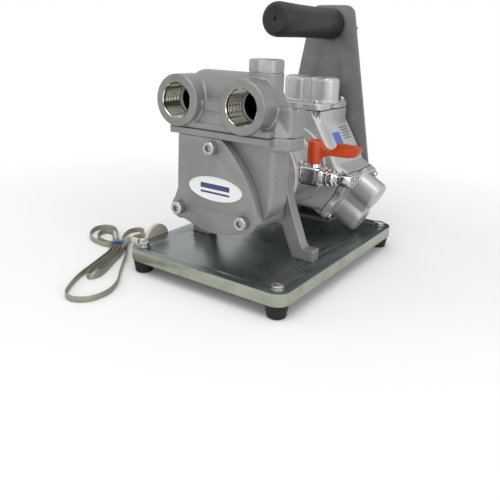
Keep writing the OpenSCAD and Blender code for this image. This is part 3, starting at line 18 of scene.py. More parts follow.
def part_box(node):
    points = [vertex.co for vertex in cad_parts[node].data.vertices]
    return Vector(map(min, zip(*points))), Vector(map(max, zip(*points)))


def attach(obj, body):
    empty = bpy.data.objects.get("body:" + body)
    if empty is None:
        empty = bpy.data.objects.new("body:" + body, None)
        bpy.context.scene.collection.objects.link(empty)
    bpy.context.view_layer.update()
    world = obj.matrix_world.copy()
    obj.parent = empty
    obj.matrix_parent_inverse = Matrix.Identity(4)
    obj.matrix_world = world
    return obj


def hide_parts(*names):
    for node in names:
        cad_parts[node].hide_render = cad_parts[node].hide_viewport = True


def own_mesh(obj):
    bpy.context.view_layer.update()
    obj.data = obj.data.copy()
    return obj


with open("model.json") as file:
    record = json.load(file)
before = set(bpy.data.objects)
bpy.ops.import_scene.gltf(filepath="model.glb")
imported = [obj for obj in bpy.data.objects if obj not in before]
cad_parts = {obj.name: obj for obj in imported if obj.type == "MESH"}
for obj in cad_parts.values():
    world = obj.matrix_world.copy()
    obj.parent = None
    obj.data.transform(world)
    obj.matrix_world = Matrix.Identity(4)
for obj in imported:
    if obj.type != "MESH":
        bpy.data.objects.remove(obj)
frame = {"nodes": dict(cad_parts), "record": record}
MM = 0.001
X, Y, Z = Vector((1, 0, 0)), Vector((0, 1, 0)), Vector((0, 0, 1))
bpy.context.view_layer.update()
body_of_node = {node: body for body, nodes in frame["record"]["behaviour"]["bodies"].items() for node in nodes}
slot_of_node = {part["node"]: part["material_slot"] for part in frame["record"]["subparts"]}

# %% [markdown]
# ## The camera
# The camera stands to the right of the pump, a little above it and turned down by twelve
# degrees. A camera matrix is easiest to read as three unit vectors: right, up and back.
# The shift keeps the view centre above the middle of the frame, which leaves the
# uprights nearly upright.

# %% Camera
SENSOR_MM, FRAME_PIXELS, FOCAL_PIXELS = 36, 500, 575.25
CAMERA_PLACE = (0.31904, -0.51954, 0.2392)
yaw, pitch, roll = math.radians(34.03), math.radians(11.97), math.radians(2.21)
ahead = Vector((-math.sin(yaw) * math.cos(pitch), math.cos(yaw) * math.cos(pitch), -math.sin(pitch)))
level_right = Vector((math.cos(yaw), math.sin(yaw), 0))
level_up = level_right.cross(ahead)
right = math.cos(roll) * level_right + math.sin(roll) * level_up
up = -math.sin(roll) * level_right + math.cos(roll) * level_up

camera_data = bpy.data.cameras.new("camera")
camera_data.sensor_width = SENSOR_MM
camera_data.lens = FOCAL_PIXELS / FRAME_PIXELS * SENSOR_MM
camera_data.shift_y = -0.18
camera = bpy.data.objects.new("camera", camera_data)
camera.matrix_world = Matrix((
    (right.x, up.x, -ahead.x, CAMERA_PLACE[0]),
    (right.y, up.y, -ahead.y, CAMERA_PLACE[1]),
    (right.z, up.z, -ahead.z, CAMERA_PLACE[2]),
    (0, 0, 0, 1)))
bpy.context.scene.collection.objects.link(camera)
bpy.context.scene.camera = camera
print("camera lens", round(camera_data.lens, 2), "mm")

# %% [markdown]
# ## Small helpers
# Operators act on whatever is selected, so each step starts by selecting one object
# and nothing else. A modifier is added and applied at once, as by hand in the editor.

# %% Helpers for selecting, editing and copying
def only(piece):
    if bpy.context.object and bpy.context.object.mode != "OBJECT":
        bpy.ops.object.mode_set(mode="OBJECT")
    bpy.ops.object.select_all(action="DESELECT")
    piece.select_set(True)
    bpy.context.view_layer.objects.active = piece


def apply_modifier(piece, kind, **settings):
    only(piece)
    modifier = piece.modifiers.new(kind, kind)
    for name, value in settings.items():
        setattr(modifier, name, value)
    bpy.ops.object.modifier_apply(modifier=modifier.name)


def edit_all(piece, operator, **settings):
    """Runs one mesh operator on the whole of a piece."""
    only(piece)
    bpy.ops.object.mode_set(mode="EDIT")
    bpy.ops.mesh.select_all(action="SELECT")
    operator(**settings)
    bpy.ops.object.mode_set(mode="OBJECT")


def face_outwards(piece):
    edit_all(piece, bpy.ops.mesh.normals_make_consistent, inside=False)


def link(piece):
    bpy.context.scene.collection.objects.link(piece)
    return piece


def copy_node(node, name):
    """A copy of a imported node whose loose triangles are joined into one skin."""
    piece = link(bpy.data.objects.new(name, frame["nodes"][node].data.copy()))
    piece.data.materials.clear()
    edit_all(piece, bpy.ops.mesh.remove_doubles, threshold=0.004 * MM)
    return piece


def smooth_by_angle(piece, degrees=35):
    only(piece)
    bpy.ops.object.shade_smooth_by_angle(angle=math.radians(degrees))


def stand_for(piece, node):
    """The dressed piece joins the node's body and the node is hidden."""
    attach(piece, body_of_node[node])
    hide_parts(node)
    return piece


def settled(piece):
    """Moves the piece's place, turn and size into its mesh."""
    only(piece)
    bpy.ops.object.transform_apply(location=True, rotation=True, scale=True)
    return piece


def added(name):
    """Names and settles what an operator has just added."""
    piece = bpy.context.object
    piece.name = piece.data.name = name
    return settled(piece)


# %% Turn a piece as on a lathe
def turned(name, at, axis, stations, sides=72, ring=False):
    """Turns a piece by extruding a circle from station to station. Each station is a radius
    and a distance along the axis, in millimetres. A ring ends where it started."""
    at, axis = Vector(at) * MM, Vector(axis)
    radius, distance = stations[0]
    bpy.ops.object.select_all(action="DESELECT")
    bpy.ops.mesh.primitive_circle_add(vertices=sides, radius=radius * MM, location=at + axis * distance * MM,
                                      rotation=axis.to_track_quat("Z", "Y").to_euler(),
                                      fill_type="NOTHING" if ring else "NGON")
    piece = added(name)
    bpy.ops.object.mode_set(mode="EDIT")
    bpy.ops.mesh.select_mode(type="EDGE" if ring else "FACE")
    bpy.ops.mesh.select_all(action="SELECT")
    for next_radius, next_distance in stations[1:]:
        move = axis * (next_distance - distance) * MM
        bpy.ops.mesh.extrude_region_move(TRANSFORM_OT_translate={"value": tuple(move)})
        size = next_radius / radius
        bpy.ops.transform.resize(value=(size, size, size), center_override=at + axis * next_distance * MM)
        radius, distance = next_radius, next_distance
    if ring:
        bpy.ops.mesh.select_all(action="DESELECT")
        bpy.ops.mesh.select_non_manifold()
        bpy.ops.mesh.bridge_edge_loops()
    face_outwards(piece)
    return piece


# %% [markdown]
# ## The bonding strap
# The strap is a flat braid of tinned copper wires that carries static charge away. It
# stands on its edge and is bundled by a blue tie, with its magnet parked on the side of
# the base plate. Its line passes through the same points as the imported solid, so both
# lie in the same place. A flat section is swept along that line.

# %% Points that the strap passes through
TIE_AT = (-140, -93, 7)
TIE_ALONG, TIE_ACROSS = (0.65, -0.76), (0.76, 0.65)
STRAP_WIDTH, STRAP_THICK = 6 * MM, 1.4 * MM
# Height of the strap's middle line where it lies on edge, and the step between two strands
LIE, STRAND_STEP, MIDDLE_STRAND = 3.2, 2.0, 3


def strand(k, towards, in_z=5.5, out_z=5.5):
    """Four points of strand k on its way through the tie, fanned out at both ends."""
    points = []
    for along, z, fan in ((-11, in_z, 1.5), (-4, 7, 1), (4, 7, 1), (11, out_z, 1.5)):
        aside = (k - MIDDLE_STRAND) * STRAND_STEP * fan
        points.append((TIE_AT[0] + along * towards * TIE_ALONG[0] + aside * TIE_ACROSS[0],
                       TIE_AT[1] + along * towards * TIE_ALONG[1] + aside * TIE_ACROSS[1], z))
    return points


def laid(*points):
    return [(x, y, LIE) for x, y in points]


route = ([(-98, -115.5, 29), (-103, -115.5, 28), (-110, -113, 23), (-116, -109, 17.5), (-123, -104.5, 13)]
         + strand(5, -1, 9, 5.5)
         + laid((-150, -66), (-153, -48), (-160, -36), (-169, -35), (-173, -45), (-168, -59), (-158, -73))
         + strand(4, 1)
         + laid((-126, -107), (-117, -124), (-108, -141), (-102, -156), (-104, -166), (-112, -163),
                (-119, -148), (-126, -130), (-134, -111))
         + strand(1, -1)
         + laid((-160, -90), (-174, -90), (-187, -84), (-195, -73), (-193, -64), (-184, -64), (-171, -75),
                (-158, -83))
         + strand(2, 1)
         + laid((-130.5, -112), (-122, -130), (-114, -147), (-109, -155), (-106, -151), (-112, -140),
                (-121, -124), (-129, -110))
         + strand(3, -1)
         + laid((-163, -76), (-178, -62), (-193, -52), (-206, -53), (-211, -65), (-204, -80), (-191, -91),
                (-174, -96), (-158, -95))
         + strand(0, 1)
         + laid((-138, -113), (-131, -130), (-123, -150), (-114, -172), (-103, -191), (-91, -206), (-77, -208),
                (-66, -197), (-65, -178), (-74, -159), (-91, -139), (-108, -118))
         + strand(6, -1, 5.5, 8)
         + [(-138, -72, 10.5), (-132, -72, 13), (-126, -76, 16), (-116, -81, 20), (-109, -82, 21), (-105, -82, 21)])


def curve_through(points, steps):
    """A smooth line through the points, with the given number of steps between two of them."""
    line = []
    for i in range(len(points) - 1):
        a, b = points[max(i - 1, 0)], points[i]
        c, d = points[i + 1], points[min(i + 2, len(points) - 1)]
        for s in range(steps):
            t = s / steps
            line.append(0.5 * (2 * b + (c - a) * t + (2 * a - 5 * b + 4 * c - d) * t * t
                               + (3 * b - a - 3 * c + d) * t * t * t))
    return line + [points[-1]]


strap_line = curve_through([Vector(p) * MM for p in route], 7)
strap_length = sum((b - a).length for a, b in zip(strap_line, strap_line[1:]))
print("strap length", round(strap_length, 3), "m in", len(strap_line), "points")

# %% The strap's flat section
# Each pair is a share of the thickness and a share of the width, once round the braid.
SECTION = [(0.5, 0.38), (0.36, 0.46), (0, 0.5), (-0.36, 0.46), (-0.5, 0.38),
           (-0.5, 0), (-0.5, -0.38), (-0.36, -0.46), (0, -0.5), (0.36, -0.46), (0.5, -0.38), (0.5, 0)]
# How far round the braid each corner lies, in millimetres
ROUND_THE_BRAID = [0, 0.5, 1.3, 2.1, 2.6, 4.9, 7.2, 7.7, 8.5, 9.3, 9.8, 12.1, 14.4]


def strap_ring(i):
    heading = (strap_line[min(i + 1, len(strap_line) - 1)] - strap_line[max(i - 1, 0)]).normalized()
    if i in (0, len(strap_line) - 1):
        side, rise = Vector((0, 1, 0)), Vector((0, 0, 1))
    else:
        side = Vector((-heading.y, heading.x, 0)).normalized()
        rise = heading.cross(side)
    if side.dot(Vector((-heading.y, heading.x, 0))) < 0:
        side = -side
    height = STRAP_WIDTH * abs(rise.z) / rise.z
    return [strap_line[i] + a * STRAP_THICK * side + b * height * rise for a, b in SECTION]


# %% Sweep the section along the line
def sweep_strap():
    """Rings of corners joined by faces. The UV map is the braid unrolled, in metres."""
    count = len(SECTION)
    points, faces, uvs = [], [], []
    lengths = [0.0]
    for a, b in zip(strap_line, strap_line[1:]):
        lengths.append(lengths[-1] + (b - a).length)
    for i in range(len(strap_line)):
        points += strap_ring(i)
    for i in range(len(strap_line) - 1):
        for k in range(count):
            n = (k + 1) % count
            faces.append((i * count + k, i * count + n, (i + 1) * count + n, (i + 1) * count + k))
            here, there = ROUND_THE_BRAID[k] * MM, ROUND_THE_BRAID[k + 1] * MM
            uvs += [(lengths[i], here), (lengths[i], there), (lengths[i + 1], there), (lengths[i + 1], here)]
    last = (len(strap_line) - 1) * count
    faces += [tuple(reversed(range(count))), tuple(last + k for k in range(count))]
    uvs += [(0, 0)] * (2 * count)
    mesh = bpy.data.meshes.new("bonding_braid")
    mesh.from_pydata(points, [], faces)
    layer = mesh.uv_layers.new(name="along")
    for loop, uv in zip(layer.data, uvs):
        loop.uv = uv
    return link(bpy.data.objects.new("bonding_braid", mesh))


bonding_braid = sweep_strap()
face_outwards(bonding_braid)
smooth_by_angle(bonding_braid, 50)
stand_for(bonding_braid, "bonding_strap")
print("braid faces", len(bonding_braid.data.polygons))

# %% [markdown]
# ## Shader building blocks
# Real surfaces vary in the same few ways: grain from the sand mould, bright worn edges,
# tool marks and smudges. Each effect is one node group with named inputs, so a material
# is a shader with a few groups plugged in at their own values.

# %% Helpers for node trees
def put(tree, kind, settings=None, inputs=None):
    """Adds a node. An input given as a socket is linked, and any other value is set."""
    made = tree.nodes.new(kind)
    for name, value in (settings or {}).items():
        setattr(made, name, value)
    for name, value in (inputs or {}).items():
        if isinstance(value, bpy.types.NodeSocket):
            tree.links.new(value, made.inputs[name])
        else:
            made.inputs[name].default_value = value
    return made


def new_group(name, inputs, outputs):
    tree = bpy.data.node_groups.new(name, "ShaderNodeTree")
    for label, value in inputs.items():
        kind = "NodeSocketColor" if isinstance(value, tuple) else "NodeSocketFloat"
        socket = tree.interface.new_socket(name=label, in_out="INPUT", socket_type=kind)
        socket.default_value = value
    for label, kind in outputs.items():
        tree.interface.new_socket(name=label, in_out="OUTPUT", socket_type="NodeSocket" + kind)
    start, end = tree.nodes.new("NodeGroupInput"), tree.nodes.new("NodeGroupOutput")
    return tree, start.outputs, end.inputs


def maths(tree, operation, a, b=0.0, clamp=False):
    return put(tree, "ShaderNodeMath", {"operation": operation, "use_clamp": clamp}, {0: a, 1: b}).outputs[0]


def spread(tree, value, low, high, to_low=0.0, to_high=1.0):
    """Stretches the range low to high over to_low to to_high."""
    return put(tree, "ShaderNodeMapRange", {}, {"Value": value, "From Min": low, "From Max": high,
                                               "To Min": to_low, "To Max": to_high}).outputs[0]


def blend_colours(tree, share, a, b):
    mix = tree.nodes.new("ShaderNodeMix")
    mix.data_type = "RGBA"
    for socket, value in ((mix.inputs[0], share), (mix.inputs[6], a), (mix.inputs[7], b)):
        if isinstance(value, bpy.types.NodeSocket):
            tree.links.new(value, socket)
        else:
            socket.default_value = value
    return mix.outputs[2]


def noise(tree, vector, scale, detail=3.0, rough=0.55):
    return put(tree, "ShaderNodeTexNoise", {}, {"Vector": vector, "Scale": scale, "Detail": detail,
                                               "Roughness": rough}).outputs[0]


# %% Node group for the skin of a sand casting
def make_cast_skin():
    tree, given, result = new_group(
        "cast skin", {"Light": (0.6, 0.6, 0.6, 1), "Dark": (0.4, 0.4, 0.4, 1), "Grain": 1.0, "Smooth": 0.42},
        {"Color": "Color", "Roughness": "Float", "Height": "Float"})
    place = put(tree, "ShaderNodeTexCoord").outputs["Object"]
    sand = noise(tree, place, 1500, 2.0, 0.6)
    lumps = noise(tree, place, 260, 2.0, 0.5)
    clouds = noise(tree, place, 26, 3.0, 0.6)
    pits = put(tree, "ShaderNodeTexVoronoi", {}, {"Vector": place, "Scale": 700}).outputs[0]
    height = maths(tree, "ADD", maths(tree, "MULTIPLY", sand, 0.55), maths(tree, "MULTIPLY", lumps, 0.35))
    height = maths(tree, "ADD", height, maths(tree, "MULTIPLY", pits, 0.12))
    tree.links.new(maths(tree, "MULTIPLY", height, given["Grain"]), result["Height"])
    shade = maths(tree, "ADD", spread(tree, clouds, 0.35, 0.65, 0, 0.75), spread(tree, sand, 0.4, 0.6, -0.1, 0.25))
    tree.links.new(blend_colours(tree, shade, given["Dark"], given["Light"]), result["Color"])
    tree.links.new(maths(tree, "ADD", given["Smooth"], spread(tree, lumps, 0.35, 0.65, -0.05, 0.07)),
                   result["Roughness"])
    return tree


# %% Node group for edges that wear bright and look slightly round
def make_worn_edge():
    tree, given, result = new_group("worn edge", {"Radius": 0.0008, "Amount": 0.6},
                                    {"Normal": "Vector", "Wear": "Float"})
    rounded = put(tree, "ShaderNodeBevel", {"samples": 4}, {"Radius": given["Radius"]}).outputs[0]
    true = put(tree, "ShaderNodeNewGeometry").outputs["Normal"]
    agree = put(tree, "ShaderNodeVectorMath", {"operation": "DOT_PRODUCT"}, {0: rounded, 1: true}).outputs["Value"]
    edge = spread(tree, agree, 0.995, 0.9)
    place = put(tree, "ShaderNodeTexCoord").outputs["Object"]
    rubbed = spread(tree, noise(tree, place, 160, 4.0, 0.6), 0.4, 0.6)
    wear = maths(tree, "MULTIPLY", maths(tree, "MULTIPLY", edge, rubbed), given["Amount"], clamp=True)
    tree.links.new(rounded, result["Normal"])
    tree.links.new(wear, result["Wear"])
    return tree


# %% Node group for the fine scratches of a brushed or turned face
def make_tool_marks():
    tree, given, result = new_group(
        "tool marks", {"Along X": 1.0, "Along Y": 1.0, "Along Z": 1.0, "Fineness": 2500.0},
        {"Height": "Float", "Patch": "Float"})
    place = put(tree, "ShaderNodeTexCoord").outputs["Object"]
    stretch = put(tree, "ShaderNodeCombineXYZ", {}, {0: given["Along X"], 1: given["Along Y"], 2: given["Along Z"]})
    vector = put(tree, "ShaderNodeVectorMath", {"operation": "MULTIPLY"}, {0: place, 1: stretch.outputs[0]})
    lines = noise(tree, vector.outputs[0], given["Fineness"], 3.0, 0.6)
    tree.links.new(lines, result["Height"])
    tree.links.new(noise(tree, place, 40, 4.0, 0.6), result["Patch"])
    return tree


# %% Node group for the weave of a flat braid
def make_braid_weave():
    tree, given, result = new_group("braid weave", {"Across": 2600.0, "Along": 1500.0},
                                    {"Height": "Float", "Over": "Float"})
    place = put(tree, "ShaderNodeUVMap", {"uv_map": "along"}).outputs[0]
    parts = put(tree, "ShaderNodeSeparateXYZ", {}, {0: place})
    length = maths(tree, "MULTIPLY", parts.outputs[0], given["Along"])
    width = maths(tree, "MULTIPLY", parts.outputs[1], given["Across"])
    rising, falling = maths(tree, "ADD", length, width), maths(tree, "SUBTRACT", length, width)
    one = maths(tree, "ABSOLUTE", maths(tree, "SINE", rising))
    two = maths(tree, "ABSOLUTE", maths(tree, "SINE", falling))
    cell = maths(tree, "MULTIPLY", maths(tree, "SINE", maths(tree, "MULTIPLY", rising, 0.5)),
                 maths(tree, "SINE", maths(tree, "MULTIPLY", falling, 0.5)))
    over = maths(tree, "GREATER_THAN", cell, 0.0)
    first = maths(tree, "MULTIPLY", one, over)
    second = maths(tree, "MULTIPLY", two, maths(tree, "SUBTRACT", 1.0, over))
    tree.links.new(maths(tree, "ADD", first, second), result["Height"])
    tree.links.new(over, result["Over"])
    return tree


cast_skin, worn_edge, tool_marks, braid_weave = (make_cast_skin(), make_worn_edge(), make_tool_marks(),
                                                 make_braid_weave())
print("shader groups", len(bpy.data.node_groups))

# %% [markdown]
# ## The finishes
# A casting here is cleaned aluminium or iron under a thin silver coat, so it is half
# metal: soft highlights with a grey body colour. Plated pieces are full metal and
# almost mirror bright. Rubber has no metal in it and a wide dull highlight.

# %% Helpers for materials
def grey(v, tint=(1, 1, 1)):
    return (v * tint[0], v * tint[1], v * tint[2], 1)


def start_material(name, metallic, rough, colour=None):
    material = bpy.data.materials.new(name)
    material.use_nodes = True
    tree = material.node_tree
    shader = tree.nodes["Principled BSDF"]
    shader.inputs["Metallic"].default_value = metallic
    shader.inputs["Roughness"].default_value = rough
    if colour:
        shader.inputs["Base Color"].default_value = colour
        material.diffuse_color = colour
    return material, tree, shader


def use_group(tree, group, **values):
    made = tree.nodes.new("ShaderNodeGroup")
    made.node_tree = group
    for name, value in values.items():
        made.inputs[name.replace("_", " ")].default_value = value
    return made.outputs


def bump(tree, height, distance, strength=1.0, normal=None):
    inputs = {"Height": height, "Distance": distance, "Strength": strength}
    if normal is not None:
        inputs["Normal"] = normal
    return put(tree, "ShaderNodeBump", {}, inputs).outputs[0]


# %% Cast metal
def cast_material(name, light, dark, metallic, rough, grain=0.12 * MM, shaded_bores=()):
    """Sand-cast metal. Each bore in the list runs along Y, given in millimetres, and is painted near black there:
    painted shade in the passage.
    """
    material, tree, shader = start_material(name, metallic, rough)
    skin = use_group(tree, cast_skin, Light=light, Dark=dark, Smooth=rough)
    edge = use_group(tree, worn_edge, Radius=0.8 * MM, Amount=0.4)
    body = blend_colours(tree, edge["Wear"], skin["Color"], grey(0.6))
    for shaded_bore in shaded_bores:
        # Inside each listed bore the colour is painted near black: painted shade.
        body = blend_colours(tree, inside_bore(tree, *shaded_bore), body, grey(0.004))
    tree.links.new(body, shader.inputs["Base Color"])
    tree.links.new(skin["Roughness"], shader.inputs["Roughness"])
    tree.links.new(bump(tree, skin["Height"], grain, 1.0, edge["Normal"]), shader.inputs["Normal"])
    return material


def inside_bore(tree, x, z, radius, start, end):
    """One inside a bore along Y given in millimetres, and nought outside: the mask of the painted shade."""
    place = put(tree, "ShaderNodeTexCoord").outputs["Object"]
    y = put(tree, "ShaderNodeSeparateXYZ", {}, {0: place}).outputs[1]
    across = put(tree, "ShaderNodeVectorMath", {"operation": "MULTIPLY_ADD"},
                 {0: place, 1: (1, 0, 1), 2: (-x * MM, 0, -z * MM)}).outputs[0]
    reach = put(tree, "ShaderNodeVectorMath", {"operation": "LENGTH"}, {0: across}).outputs["Value"]
    share = maths(tree, "LESS_THAN", reach, radius * MM)
    share = maths(tree, "MULTIPLY", share, maths(tree, "GREATER_THAN", y, start * MM))
    return maths(tree, "MULTIPLY", share, maths(tree, "LESS_THAN", y, end * MM))


# %% Machined, painted and moulded surfaces
def plain_material(name, colour, metallic, rough, marks=(1, 1, 1), fineness=1800.0, depth=0.00003,
                   patches=0.06, radius=0.0004, coat=0.0, darker=0.8, specular=0.5, sides=None):
    """Metal, paint or rubber with faint marks. Upright sides may be painted another colour than the top, a painted
    reflection of how they catch the light.
    """
    material, tree, shader = start_material(name, metallic, rough)
    shader.inputs["Coat Weight"].default_value = coat
    shader.inputs["Specular IOR Level"].default_value = specular
    lines = use_group(tree, tool_marks, Along_X=marks[0], Along_Y=marks[1], Along_Z=marks[2], Fineness=fineness)
    edge = use_group(tree, worn_edge, Radius=radius, Amount=0.35)
    dark = (colour[0] * darker, colour[1] * darker, colour[2] * darker, 1)
    light = tuple(min(1, c * 1.25 + 0.04 * metallic) for c in colour[:3]) + (1,)
    patch = spread(tree, lines["Patch"], 0.35, 0.65)
    body = blend_colours(tree, patch, dark, colour)
    # Upright faces get their own colour: painted reflection, set by which way the face points.
    if sides:
        normal = put(tree, "ShaderNodeNewGeometry").outputs["True Normal"]
        rise = maths(tree, "ABSOLUTE", put(tree, "ShaderNodeSeparateXYZ", {}, {0: normal}).outputs[2])
        body = blend_colours(tree, maths(tree, "LESS_THAN", rise, 0.8), body,
                             blend_colours(tree, patch, sides[0], sides[1]))
    tree.links.new(blend_colours(tree, edge["Wear"], body, light), shader.inputs["Base Color"])
    tree.links.new(spread(tree, lines["Patch"], 0.3, 0.7, rough - patches, rough + patches),
                   shader.inputs["Roughness"])
    tree.links.new(bump(tree, lines["Height"], depth, 1.0, edge["Normal"]), shader.inputs["Normal"])
    return material


def braid_material():
    material, tree, shader = start_material("tinned braid", 0.8, 0.36)
    weave = use_group(tree, braid_weave)
    # Painted shade: the colour is dark where the weave lies low between the wires and bright on the wires' tops.
    body = blend_colours(tree, spread(tree, weave["Height"], 0.1, 0.9), (0.07, 0.066, 0.045, 1),
                         (0.46, 0.45, 0.37, 1))
    tree.links.new(body, shader.inputs["Base Color"])
    tree.links.new(bump(tree, weave["Height"], 0.0003), shader.inputs["Normal"])
    return material


# %% The finishes by name
finishes = {
    # The plate's upright sides are painted lighter than its top: painted reflection.
    "zinc_plate": plain_material("zinc plated plate", (0.2, 0.235, 0.235, 1), 0.85, 0.3, (0.06, 1, 1), 1500.0,
                                 0.00001, 0.05, 0.0005, sides=((0.3, 0.32, 0.26, 1), (0.4, 0.42, 0.34, 1))),
    "black_rubber": plain_material("black rubber", (0.01, 0.01, 0.011, 1), 0.0, 0.6, depth=0.00006, specular=0.3),
    "bright_steel": plain_material("zinc plated steel", (0.5, 0.5, 0.48, 1), 1.0, 0.24),
    "dark_steel": plain_material("dark steel", (0.12, 0.12, 0.125, 1), 0.9, 0.38),
    "grey_casting": cast_material("silver casting", grey(0.27, (1, 1, 0.985)), grey(0.22, (1, 1, 0.98)), 0.5, 0.4),
    "light_casting": cast_material("motor casting", grey(0.5, (1, 1, 0.99)), grey(0.42), 0.5, 0.33),
    "gasket_paper": plain_material("gasket sheet", (0.05, 0.055, 0.05, 1), 0.0, 0.8),
    "badge_white": plain_material("enamelled badge", (0.72, 0.73, 0.72, 1), 0.0, 0.32, depth=0.00001, coat=0.3,
                                  darker=0.96),
    "bronze": plain_material("dull bronze", (0.4, 0.38, 0.33, 1), 1.0, 0.3),
    "red_spider": plain_material("elastic star", (0.5, 0.04, 0.03, 1), 0.0, 0.45),
    "machined_steel": plain_material("turned cap", (0.36, 0.365, 0.36, 1), 0.8, 0.34, (1, 1, 0.2)),
    "sintered_bronze": cast_material("sintered bronze", (0.4, 0.28, 0.13, 1), (0.22, 0.15, 0.07, 1), 0.8, 0.55,
                                     0.0005),
    "chrome_plate": plain_material("bright plating", (0.6, 0.6, 0.61, 1), 1.0, 0.12, depth=0.000004, patches=0.03),
    "white_seat": plain_material("white seat", (0.8, 0.8, 0.78, 1), 0.0, 0.4),
    "orange_lever": plain_material("orange lever", (0.5, 0.05, 0.003, 1), 0.0, 0.4, depth=0.00003, coat=0.1,
                                   darker=0.88),
    "grey_paint": plain_material("grey paint", (0.185, 0.188, 0.185, 1), 0.35, 0.42, depth=0.00003, fineness=900.0),
    "black_grip": plain_material("black grip", (0.012, 0.0125, 0.01, 1), 0.0, 0.46, depth=0.00003, specular=0.4),
    "label_white": plain_material("label sheet", (0.44, 0.455, 0.45, 1), 0.0, 0.35, depth=0.00001, coat=0.2),
    "tinned_copper": plain_material("tinned lug", (0.6, 0.59, 0.55, 1), 1.0, 0.28),
    "braid": braid_material(),
    "blue_tie": plain_material("blue tie", (0.02, 0.1, 0.42, 1), 0.0, 0.4),
    "magnet_nickel": plain_material("magnet plating", (0.62, 0.56, 0.48, 1), 0.35, 0.4),
}

# %% Finishes of the two ports
PORTS, PORT_FACE_Y, PORT_Z = (("left", -45), ("right", 30)), -109, 179
# The passage behind a thread, painted near black as painted shade: its radius, and where it starts and ends along Y
SHADED_PASSAGE = (13.9, -85.6, -61)
# Painted shade: the passages behind the threads are painted near black.
shaded_casting = cast_material("silver casting with dark passages", grey(0.27, (1, 1, 0.985)),
                               grey(0.22, (1, 1, 0.98)), 0.5, 0.4,
                               shaded_bores=[(x, PORT_Z, *SHADED_PASSAGE) for side, x in PORTS])
machined_face = plain_material("machined casting face", (0.26, 0.26, 0.255, 1), 0.5, 0.34, depth=0.00001)


def thread_material():
    """Streaks of painted highlight and painted shade run along the bore."""
    material, tree, shader = start_material("light_and_shade_streaked thread", 1.0, 0.22)
    place = put(tree, "ShaderNodeTexCoord").outputs["Object"]
    streaks = put(tree, "ShaderNodeVectorMath", {"operation": "MULTIPLY"}, {0: place, 1: (1, 0.04, 1)}).outputs[0]
    # Painted highlight and painted shade: the colour streaks between dark and bright along the bore.
    light_and_shade_streak = spread(tree, noise(tree, streaks, 150.0, 1.5, 0.5), 0.4, 0.6)
    body = blend_colours(tree, light_and_shade_streak, (0.1, 0.095, 0.06, 1), (0.8, 0.77, 0.66, 1))
    tree.links.new(body, shader.inputs["Base Color"])
    tree.links.new(spread(tree, light_and_shade_streak, 0, 1, 0.3, 0.18), shader.inputs["Roughness"])
    return material


cut_thread = thread_material()
print("finishes", len(bpy.data.materials))


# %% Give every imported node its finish
def finish_with(piece, finish):
    piece.data.materials.clear()
    piece.data.materials.append(finishes[finish] if isinstance(finish, str) else finish)


for node, piece in frame["nodes"].items():
    finish_with(piece, slot_of_node[node])
finish_with(bonding_braid, "braid")
print("finished", len(frame["nodes"]), "nodes and the braid")

# %% [markdown]
# ## Sand castings
# A casting leaves its mould with every edge rounded and every inner corner filled. A
# bevel modifier trips over the many cuts of such a solid, so the copy is rebuilt from
# small cubes of space with Remesh and then relaxed with Smooth, which rounds the
# corners inside and out alike. The machined joints get their crisp pieces later.

# %% Where the machined joints are
seam, cover_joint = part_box("manifold_gasket"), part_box("cover_gasket")
stand_box, housing_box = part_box("pump_stand"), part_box("motor_housing")
shaft_line_z = (housing_box[0][2] + housing_box[1][2]) / 2
shaft_point = Vector((0, 0, shaft_line_z))
# Distance of a barrel's end and of its head's lower face from the shaft line
BARREL_END, HEAD_LOW = 60.3 * MM, 61 * MM
# No point this near the plane of a machined joint is relaxed, so the joint stays sharp
JOINT_GUARD = 1.3 * MM


def barrel(turn):
    """Direction of a barrel that is turned away from upright."""
    return Vector((math.sin(math.radians(turn)), 0, math.cos(math.radians(turn))))


print("shaft line", round(shaft_line_z, 4), "seam", round(seam[0].z, 4))


# %% Cast a node anew
def combine(piece, tool, operation):
    """Adds, cuts or keeps what a tool body shares with the piece, and uses the tool up."""
    apply_modifier(piece, "BOOLEAN", object=tool, operation=operation, solver="EXACT")
    bpy.data.objects.remove(tool)


def sand_cast(node, name, cell, rounds, joints, fused=()):
    """Each joint is a point and a normal. The fused pieces melt into the casting: remeshing
    makes one skin of them all."""
    piece = copy_node(node, name)
    for extra in fused:
        combine(piece, extra, "UNION")
    apply_modifier(piece, "REMESH", mode="VOXEL", voxel_size=cell * MM, use_smooth_shade=True)
    planes = [(Vector(point).dot(normal), normal) for point, normal in joints]
    as_cast = [v.index for v in piece.data.vertices if all(abs(v.co.dot(n) - d) > JOINT_GUARD for d, n in planes)]
    piece.vertex_groups.new(name="as cast").add(as_cast, 1, "REPLACE")
    apply_modifier(piece, "SMOOTH", factor=0.5, iterations=rounds, vertex_group="as cast")
    finish_with(piece, slot_of_node[node])
    return stand_for(piece, node)


# %% Blocks that are fused into castings
def rounded_block(name, middle, size, upright_round, end_round=0, turn=0, corners="all", facets=6):
    """A block whose upright corners are rounded, and then its outer end. Millimetres and degrees."""
    bpy.ops.object.select_all(action="DESELECT")
    bpy.ops.mesh.primitive_cube_add(size=1, location=(0, 0, 0))
    piece = bpy.context.object
    piece.scale = Vector(size) * MM
    added(name)
    bpy.ops.object.mode_set(mode="EDIT")
    bpy.ops.mesh.select_all(action="DESELECT")
    bpy.ops.mesh.select_mode(type="EDGE")
    shape = bmesh.from_edit_mesh(piece.data)
    for edge in shape.edges:
        start, end = edge.verts[0].co, edge.verts[1].co
        upright = abs(start.x - end.x) + abs(start.y - end.y) < 1e-6
        edge.select_set(upright and (corners == "all" or (start.x > 0 and start.y < 0)))
    bmesh.update_edit_mesh(piece.data)
    bpy.ops.mesh.bevel(offset=upright_round * MM, segments=facets, affect="EDGES")
    bpy.ops.object.mode_set(mode="OBJECT")
    if end_round:
        apply_modifier(piece, "BEVEL", width=end_round * MM, segments=3, limit_method="ANGLE",
                       angle_limit=math.radians(40))
    piece.location = Vector(middle)
    piece.rotation_euler = (0, math.radians(turn), 0)
    return settled(piece)


